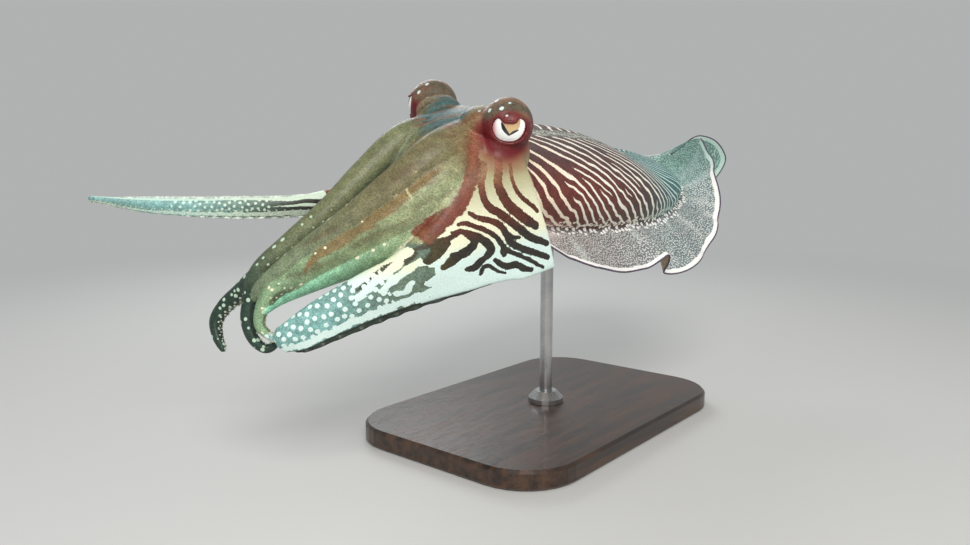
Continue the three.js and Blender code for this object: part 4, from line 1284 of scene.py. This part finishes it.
    # Eyes: maroon round the lids, brown bulges with a few pale ovals.
    for one in (1, -1):
        across, up, ahead = gaze_frame(one)
        away = np.stack((f, l, u), axis=-1) - along_gaze(one, LID_AHEAD)
        x, y = away @ across * one, away @ up
        off = np.hypot((x + 2.5) / 1.15, y + 1)
        this = side == one
        bulge = np.stack((f, l, u), axis=-1) - along_gaze(one, -EYE_STANDOFF)
        ball = np.linalg.norm(bulge / np.array(BULGE_RADII), axis=-1)
        cap = (1 - smoothstep(ball, 1.05, 1.25)) * smoothstep(u, 14, 26)
        top = tinted(tint(92, 82, 66), tint(124, 94, 72), smoothstep(mottle, -0.6, 1.2))
        paint.lay(top, this * cap)
        paint.marks = np.where(this * cap > 0.5, -1.0, paint.marks)
        ring = 1 - smoothstep(off + 0.4 * mottle, 13, 21 + 7 * smoothstep(-y, -2, 8))
        ring = ring * (1 - smoothstep(y, 3, 9)) * (away @ ahead > -16)
        maroon = tinted(tint(104, 24, 30), tint(134, 70, 50), smoothstep(off, 12, 19))
        paint.lay(maroon, this * ring)
        paint.lay_light(maroon, this * ring)
        socket = 1 - smoothstep(np.hypot((x + 2) / 1.15, y - 1.5), 8.8, 12)
        paint.lay(tint(106, 34, 34), this * socket * (away @ ahead > -10))
        for spot in BULGE_SPOTS:
            gap = np.linalg.norm((np.stack((f, l * one, u), axis=-1) - spot) / (1.5, 1, 1), axis=-1)
            raised = np.maximum(paint.marks, (1.25 - gap) / 1.2)
            paint.marks = np.where(this & (gap < 3), raised, paint.marks)
            paint.lay_light(tint(206, 222, 220), this * (gap < 3.2))
    paint.store(mesh)


class Finish:
    """A material and short calls that wire its nodes."""

    def __init__(self, name):
        self.material = bpy.data.materials.new(name)
        self.material.use_nodes = True
        self.nodes = self.material.node_tree.nodes
        self.links = self.material.node_tree.links
        self.shader = self.nodes["Principled BSDF"]

    def put(self, node, values):
        for key, value in values.items():
            if isinstance(value, bpy.types.NodeSocket):
                self.links.new(value, node.inputs[key])
            else:
                node.inputs[key].default_value = value

    def node(self, kind, values=None, **settings):
        made = self.nodes.new("ShaderNode" + kind)
        for key, value in settings.items():
            setattr(made, key, value)
        self.put(made, values or {})
        return made

    def read(self, name):
        return self.node("Attribute", attribute_name=name)

    def sum(self, operation, *values):
        return self.node("Math", dict(enumerate(values)), operation=operation).outputs[0]

    def step(self, value, low, high, first=0.0, last=1.0):
        values = {"Value": value, "From Min": low, "From Max": high, "To Min": first, "To Max": last}
        return self.node("MapRange", values, interpolation_type="SMOOTHSTEP").outputs[0]

    def blend(self, share, first, second):
        return self.node("Mix", {0: share, 6: first, 7: second}, data_type="RGBA").outputs[2]

    def scale(self, colour, factor):
        return self.node("VectorMath", {0: colour, "Scale": factor}, operation="SCALE").outputs[0]

    def stretch(self, where, factors):
        return self.node("VectorMath", {0: where, 1: factors}, operation="MULTIPLY").outputs[0]

    def noise(self, where, scale, detail=2.0, rough=0.5):
        values = {"Vector": where, "Scale": scale, "Detail": detail, "Roughness": rough}
        return self.node("TexNoise", values).outputs[0]

    def cells(self, where, scale, random=1.0):
        return self.node("TexVoronoi", {"Vector": where, "Scale": scale, "Randomness": random})

    def bump(self, height, distance, strength=1.0):
        values = {"Height": height, "Distance": distance, "Strength": strength}
        self.put(self.shader, {"Normal": self.node("Bump", values).outputs[0]})


def skin_finish():
    f = Finish("skin_finish")
    place = f.node("TexCoord").outputs["Object"]
    patch = f.read("patch").outputs["Vector"]
    marks = f.read("marks").outputs["Fac"]
    grit = f.noise(place, 1100.0, 1.0)
    line = f.step(f.sum("ADD", marks, f.step(grit, 0.2, 0.8, -0.16, 0.16)), -0.12, 0.12)
    spot = f.cells(patch, 1 / SPOT_PERIOD, 0.7).outputs["Distance"]
    spot = f.step(f.sum("SUBTRACT", f.read("spots").outputs["Fac"], spot), -0.04, 0.05)
    dot = f.step(f.read("dots").outputs["Fac"], -0.25, 0.2)
    light_share = f.sum("MAXIMUM", line, f.sum("MAXIMUM", spot, f.sum("MULTIPLY", dot, 0.75)))
    pores = f.cells(place, 1900.0)
    pore = f.step(f.node("SeparateColor", {0: pores.outputs["Color"]}).outputs[0], 0.0, 1.0, 0.66, 1.3)
    cloud = f.step(f.noise(place, 160.0, 3.0), 0.3, 0.7, 0.82, 1.16)
    ground = f.scale(f.read("ground").outputs["Color"], f.sum("MULTIPLY", pore, cloud))
    pale = f.step(grit, 0.2, 0.8, 0.9, 1.04)
    light = f.scale(f.read("light").outputs["Color"], pale)
    f.put(f.shader, {
        "Base Color": f.blend(light_share, ground, light),
        "Roughness": f.step(grit, 0.2, 0.8, 0.4, 0.56),
        "Specular IOR Level": 0.3,
        "Subsurface Weight": 0.06,
        "Subsurface Radius": (1.0, 0.7, 0.5),
        "Subsurface Scale": 0.002,
        "Coat Weight": 0.1,
        "Coat Roughness": 0.2,
    })
    folds = f.sum("MULTIPLY", f.noise(place, 520.0, 3.0, 0.6), 0.7)
    relief = f.sum("ADD", folds, f.sum("MULTIPLY", pores.outputs["Distance"], 0.25))
    relief = f.sum("ADD", relief, f.sum("MULTIPLY", light_share, 0.25))
    f.bump(relief, 0.0005, 0.6)
    return f.material


def eye_paint(x, y):
    """The eye's colour at a place across and up from the middle of its gaze."""
    grain = Ripple(51, 0.5, 1.6)(x, y)
    colour = np.tile(MAROON, (len(x), 1))
    white = smoothstep(inside(EYE_WHITE, x, y) + 0.1 * grain, -0.15, 0.25)
    pink = smoothstep(-x, 8.6, 11) + 0.4 * smoothstep(-y, 4.4, 5.8)
    pale = tinted(tint(252, 252, 250), tint(238, 176, 188), pink)
    veined = smoothstep(grain, 0.2, 1.2) * np.exp(-((x + 3) / 3) ** 2 - ((y + 4.2) / 0.7) ** 2)
    pale = tinted(pale, tint(150, 160, 168), veined)
    colour = tinted(colour, pale, white)
    iris = smoothstep(inside(EYE_IRIS, x, y) + 0.15 * grain, -0.2, 0.35)
    gold = tinted(tint(206, 176, 128), tint(172, 122, 84), smoothstep(y + grain, 2, 7))
    gold = tinted(gold, tint(236, 214, 160), 0.5 * smoothstep(grain, 0.5, 1.8))
    colour = tinted(colour, gold, iris)
    flap = smoothstep(inside(EYE_FLAP, x, y) + 0.15 * grain, -0.3, 0.4)
    colour = tinted(colour, tint(134, 58, 46), flap)
    for curve, half in PUPIL_BARS:
        gap, where = to_curve(curve, x, y)
        bar = smoothstep(half * (0.55 + 0.45 * np.sin(math.pi * where)) - gap, -0.08, 0.12)
        colour = tinted(colour, tint(8, 8, 10), bar)
    return colour


def inside(outline, x, y):
    """Distance inside a closed outline, below 0 outside."""
    closed = catmull_rom(outline + outline[:1], np.linspace(0, 1, 8 * len(outline)))
    best = np.full(len(x), 1e9)
    within = np.zeros(len(x), bool)
    for (ax, ay), (bx, by) in zip(closed, closed[1:]):
        length = (bx - ax) ** 2 + (by - ay) ** 2
        t = np.clip(((x - ax) * (bx - ax) + (y - ay) * (by - ay)) / length, 0, 1)
        best = np.minimum(best, np.hypot(x - ax - t * (bx - ax), y - ay - t * (by - ay)))
        if ay != by:
            within ^= ((ay > y) != (by > y)) & (x < ax + (bx - ax) * (y - ay) / (by - ay))
    return np.where(within, best, -best)


def eye(side):
    """An eyeball whose rings run round the gaze, fine enough there for its colours."""
    across, up, ahead = gaze_frame(side)
    fine = np.linspace(0, EYE_FINE_ARC, EYE_RINGS)[1:]
    coarse = np.linspace(EYE_FINE_ARC, math.pi, 26)[1:-1]
    polar = np.concatenate((fine, coarse))[:, None]
    around = np.linspace(0, 2 * math.pi, 3 * EYE_RINGS, endpoint=False)[None, :]
    out = np.sin(polar)
    x, y, z = np.broadcast_arrays(out * np.cos(around), out * np.sin(around), np.cos(polar))
    centre = along_gaze(side, 0)
    rings = (x[..., None] * across + y[..., None] * up + z[..., None] * ahead) * EYE_RADIUS + centre
    parts = Parts()
    poles = np.array((centre + ahead * EYE_RADIUS, centre - ahead * EYE_RADIUS))
    parts.tube(head_points(rings), *head_points(poles))
    name = "eye_left" if side == 1 else "eye_right"
    made = mesh_object(f"{name}_finished", *parts.surface())
    face_out(made.data)
    made.data.shade_smooth()
    flat = np.stack((x.ravel() * side, y.ravel()), axis=-1) * EYE_RADIUS
    flat = np.concatenate((flat, np.zeros((2, 2))))
    colour = np.ones((len(flat), 4))
    colour[:, :3] = eye_paint(*flat.T)
    colour[np.append(z.ravel() < 0.2, (False, True)), :3] = MAROON
    give(made.data, "ground", "FLOAT_COLOR", "color", colour)
    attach(made, "root")
    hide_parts(name)
    return made


def eye_finish():
    f = Finish("eye_finish")
    place = f.node("TexCoord").outputs["Object"]
    grain = f.noise(place, 2600.0, 2.0)
    f.put(f.shader, {
        "Base Color": f.scale(f.read("ground").outputs["Color"], f.step(grain, 0.25, 0.75, 0.86, 1.1)),
        "Roughness": 0.14,
        "Coat Weight": 0.8,
        "Coat Roughness": 0.03,
    })
    f.bump(grain, 0.00008, 0.25)
    return f.material


# Suckers and frilled edges, kept sharp beside the melted skin.
SUCKER_ROWS = 4

def sucker_cups(parts):
    """Rows of cups on the inner face of every arm."""
    spin = np.linspace(0, 2 * math.pi, 12, endpoint=False)
    radius = np.array((0.7, 0.75, 1.0, 0.98, 0.7, 0.45))[:, None]
    rise = np.array((-0.9, 0.1, 0.45, 0.72, 0.66, 0.3))[:, None]
    for arm in ARMS.values():
        broad = isinstance(arm, BroadArm)
        stations = np.linspace(0.28, 0.985, 38 if broad else 30)
        at, ahead, out, across, half, thick = arm.station(stations)
        for row in range(SUCKER_ROWS):
            spread = (row - (SUCKER_ROWS - 1) / 2) * (0.2 if broad else 0.36)
            share = spread + (arm.spec["rows_at"] if broad else 0.0)
            deep = thick * (1 - 0.55 * smoothstep(share, -0.2, 1)) if broad else 0.8 * thick
            deep = deep * (1 - abs(share) ** 2.4) ** 0.5
            way = out * (arm.spec["oral"] if broad else -1)
            size = np.clip((0.05 if broad else 0.13) * half, 0.5, 1.9)
            shift = ahead * (np.where(row % 2, 0.5, 0.0) * arm.length * 0.7 / len(stations))
            foot = at + across * (half * share)[:, None] + way * deep[:, None] + shift
            for k in range(len(stations)):
                tilt = unit(way[k] + across[k] * share * 0.8)
                side = unit(np.cross(ahead[k], tilt))
                front = np.cross(tilt, side)
                circle = side * np.cos(spin)[:, None] + front * np.sin(spin)[:, None]
                ring = circle[None] * radius[..., None]
                ring = (ring + tilt * rise[..., None]) * size[k] + foot[k]
                parts.tube(ring, foot[k] - tilt * size[k], foot[k] + tilt * 0.2 * size[k])


def frill(parts, arm, edge, first, last, reach, waves, seed):
    """A thin ruffled sheet along one edge of a broad arm."""
    u = np.linspace(first, last, int((last - first) * arm.length / 0.5))
    at, _, out, across, half, _ = arm.station(u)
    gone = (u - first) / (last - first)
    size = reach * np.sin(math.pi * np.clip(gone, 0, 1)) ** 0.35
    sway = np.sin(2 * math.pi * waves * gone + 1.3 * np.sin(9 * gone + seed)) * 0.55
    columns = np.linspace(0, 1, 7)
    depth = np.concatenate((columns, columns[::-1]))
    face = np.concatenate((np.full(7, 0.5), np.full(7, -0.5)))
    over = depth[None, :] * size[:, None] - 2.2
    lift = sway[:, None] * size[:, None] * depth[None, :] ** 1.6 * 0.6
    lift = lift + face[None, :] * mix(1.4, 0.5, depth)[None, :]
    rings = at[:, None] + across[:, None] * edge * (half[:, None] + over)[..., None]
    rings = rings + out[:, None] * lift[..., None]
    parts.tube(rings, rings[0].mean(axis=0), rings[-1].mean(axis=0))


def extras():
    made = []
    parts = Parts()
    sucker_cups(parts)
    made.append(("suckers", parts, tint(198, 204, 184)))
    parts = Parts()
    frill(parts, ARMS["right_4"], 1, 0.3, 0.75, 3.2, 15, 1)
    frill(parts, ARMS["right_4"], -1, 0.35, 0.96, 3.6, 13, 2)
    made.append(("pale_frill", parts, tint(204, 214, 204)))
    # Painted shade: a dark sheet along the near fourth arm's lower margin stands in for its underside in
    # shadow.
    parts = Parts()
    frill(parts, ARMS["left_4"], 1, 0.22, 0.97, 4.5, 11, 3)
    made.append(("painted_shade_frill", parts, tint(48, 58, 48)))
    objects = []
    for name, parts, colour in made:
        points, quads, tris = parts.surface()
        piece = mesh_object(name, points, quads, tris)
        face_out(piece.data)
        paint = Paint(len(points), colour, colour)
        paint.patch = points
        paint.store(piece.data)
        objects.append(piece)
    return objects


def skin():
    points, facts, quads, tris = mantle_and_fins()
    torso = mesh_object("skin", points, quads, tris)
    face_out(torso.data)
    paint_torso(torso.data, facts, points)
    head = head_and_arms()
    places = np.empty(len(head.data.vertices) * 3)
    head.data.vertices.foreach_get("co", places)
    paint_head(head.data, (places.reshape(-1, 3) / MM - NECK_AT) @ BODY_TURN)
    bpy.ops.object.select_all(action="DESELECT")
    for piece in (head, torso, *extras()):
        piece.select_set(True)
    bpy.context.view_layer.objects.active = torso
    bpy.ops.object.join()
    torso.data.shade_smooth()
    flesh = [n for n in frame["nodes"] if not n.startswith(("stand_", "eye_"))]
    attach(torso, "root")
    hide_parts(*flesh)
    return torso


# The display stand: the solids themselves, in stained oak and brushed steel.

def wood_finish():
    f = Finish("stained_oak")
    place = f.node("TexCoord").outputs["Object"]
    stretched = f.stretch(place, (9.0, 90.0, 90.0))
    drift = f.noise(stretched, 0.35, 2.0)
    warped = f.node("VectorMath", {0: stretched, 1: drift}, operation="ADD").outputs[0]
    grain = f.noise(warped, 1.4, 6.0, 0.62)
    pores = f.noise(f.stretch(place, (60.0, 1400.0, 900.0)), 1.0, 2.0)
    pore = f.step(pores, 0.56, 0.7)
    colour = f.blend(f.step(grain, 0.34, 0.66), (0.016, 0.008, 0.005, 1), (0.075, 0.034, 0.016, 1))
    colour = f.blend(f.sum("MULTIPLY", pore, 0.6), colour, (0.008, 0.004, 0.003, 1))
    f.put(f.shader, {
        "Base Color": colour,
        "Roughness": f.step(grain, 0.3, 0.7, 0.3, 0.42),
        "Coat Weight": 0.25,
        "Coat Roughness": 0.12,
    })
    f.bump(f.sum("SUBTRACT", f.sum("MULTIPLY", grain, 0.4), pore), 0.0002, 0.4)
    return f.material


def steel_finish():
    f = Finish("brushed_steel")
    place = f.node("TexCoord").outputs["Object"]
    brushed = f.stretch(place, (700.0, 700.0, 9000.0))
    lines = f.noise(brushed, 1.0, 3.0, 0.6)
    smear = f.noise(place, 60.0, 2.0)
    f.put(f.shader, {
        "Base Color": f.blend(f.step(smear, 0.3, 0.7), (0.44, 0.44, 0.45, 1), (0.56, 0.56, 0.56, 1)),
        "Metallic": 1.0,
        "Roughness": f.step(lines, 0.25, 0.75, 0.22, 0.38),
    })
    f.bump(lines, 0.00004, 0.35)
    return f.material


def dress_stand():
    wood, steel = wood_finish(), steel_finish()
    for piece in bpy.context.scene.objects:
        if piece.type == "MESH" and piece.name.startswith("stand_"):
            for slot in piece.material_slots:
                slot.material = wood if piece.name.startswith("stand_base") else steel


# Camera, from the photograph: level horizon, seen from ahead on the left.
CAMERA_AT = (-0.49252, -0.34552, 0.20258)
CAMERA_TURN = (math.radians(82), 0, math.radians(-50.3))
FOCAL_PIXELS = 770
PHOTO_WIDTH = 970
FLOOR_REACH = 40
FLOOR_FADE = (0.45, 1.5)
SKY_COLOUR = (0.78, 0.8, 0.8, 1)
SKY_STRENGTH = 0.56


def make_camera():
    data = bpy.data.cameras.new("camera")
    data.sensor_width = 36
    data.sensor_fit = "HORIZONTAL"
    data.lens = FOCAL_PIXELS / PHOTO_WIDTH * data.sensor_width
    data.clip_start = 0.01
    made = bpy.data.objects.new("camera", data)
    made.location = CAMERA_AT
    made.rotation_euler = CAMERA_TURN
    bpy.context.scene.collection.objects.link(made)
    bpy.context.scene.camera = made


def area_light(name, at, size, watts, colour, aim=(0, 0, 0.17)):
    data = bpy.data.lights.new(name, "AREA")
    data.shape = "DISK"
    data.size = size
    data.energy = watts
    data.color = colour
    made = bpy.data.objects.new(name, data)
    made.location = at
    made.rotation_euler = (Vector(aim) - Vector(at)).to_track_quat("-Z", "Y").to_euler()
    bpy.context.scene.collection.objects.link(made)


def make_stage():
    data = bpy.data.meshes.new("floor")
    corners = ((-1, -1), (1, -1), (1, 1), (-1, 1))
    data.from_pydata([(x * FLOOR_REACH, y * FLOOR_REACH, 0) for x, y in corners], [], [(0, 1, 2, 3)])
    floor = bpy.data.objects.new("floor", data)
    bpy.context.scene.collection.objects.link(floor)
    f = Finish("floor_finish")
    f.put(f.shader, {"Base Color": (0.6, 0.6, 0.59, 1), "Roughness": 0.7})
    place = f.node("TexCoord").outputs["Object"]
    away = f.node("VectorMath", {0: place}, operation="LENGTH").outputs["Value"]
    far = f.step(away, *FLOOR_FADE)
    glow = f.node("Emission", {"Color": SKY_COLOUR, "Strength": SKY_STRENGTH}).outputs[0]
    joined = f.node("MixShader", {0: far, 1: f.shader.outputs[0], 2: glow}).outputs[0]
    f.links.new(joined, f.nodes["Material Output"].inputs["Surface"])
    data.materials.append(f.material)
    sky = bpy.data.worlds.new("studio")
    sky.use_nodes = True
    sky.node_tree.nodes["Background"].inputs["Color"].default_value = SKY_COLOUR
    sky.node_tree.nodes["Background"].inputs["Strength"].default_value = SKY_STRENGTH
    bpy.context.scene.world = sky
    bpy.context.scene.view_settings.view_transform = "Standard"
    area_light("key", (-0.85, -0.75, 0.95), 0.7, 15, (1, 0.97, 0.93))
    area_light("rim", (0.6, 0.9, 0.9), 0.8, 6, (0.95, 0.98, 1))


make_camera()
covering = skin()
covering.data.materials.clear()
covering.data.materials.append(skin_finish())
for side in (1, -1):
    eye(side).data.materials.append(eye_finish())
dress_stand()
make_stage()
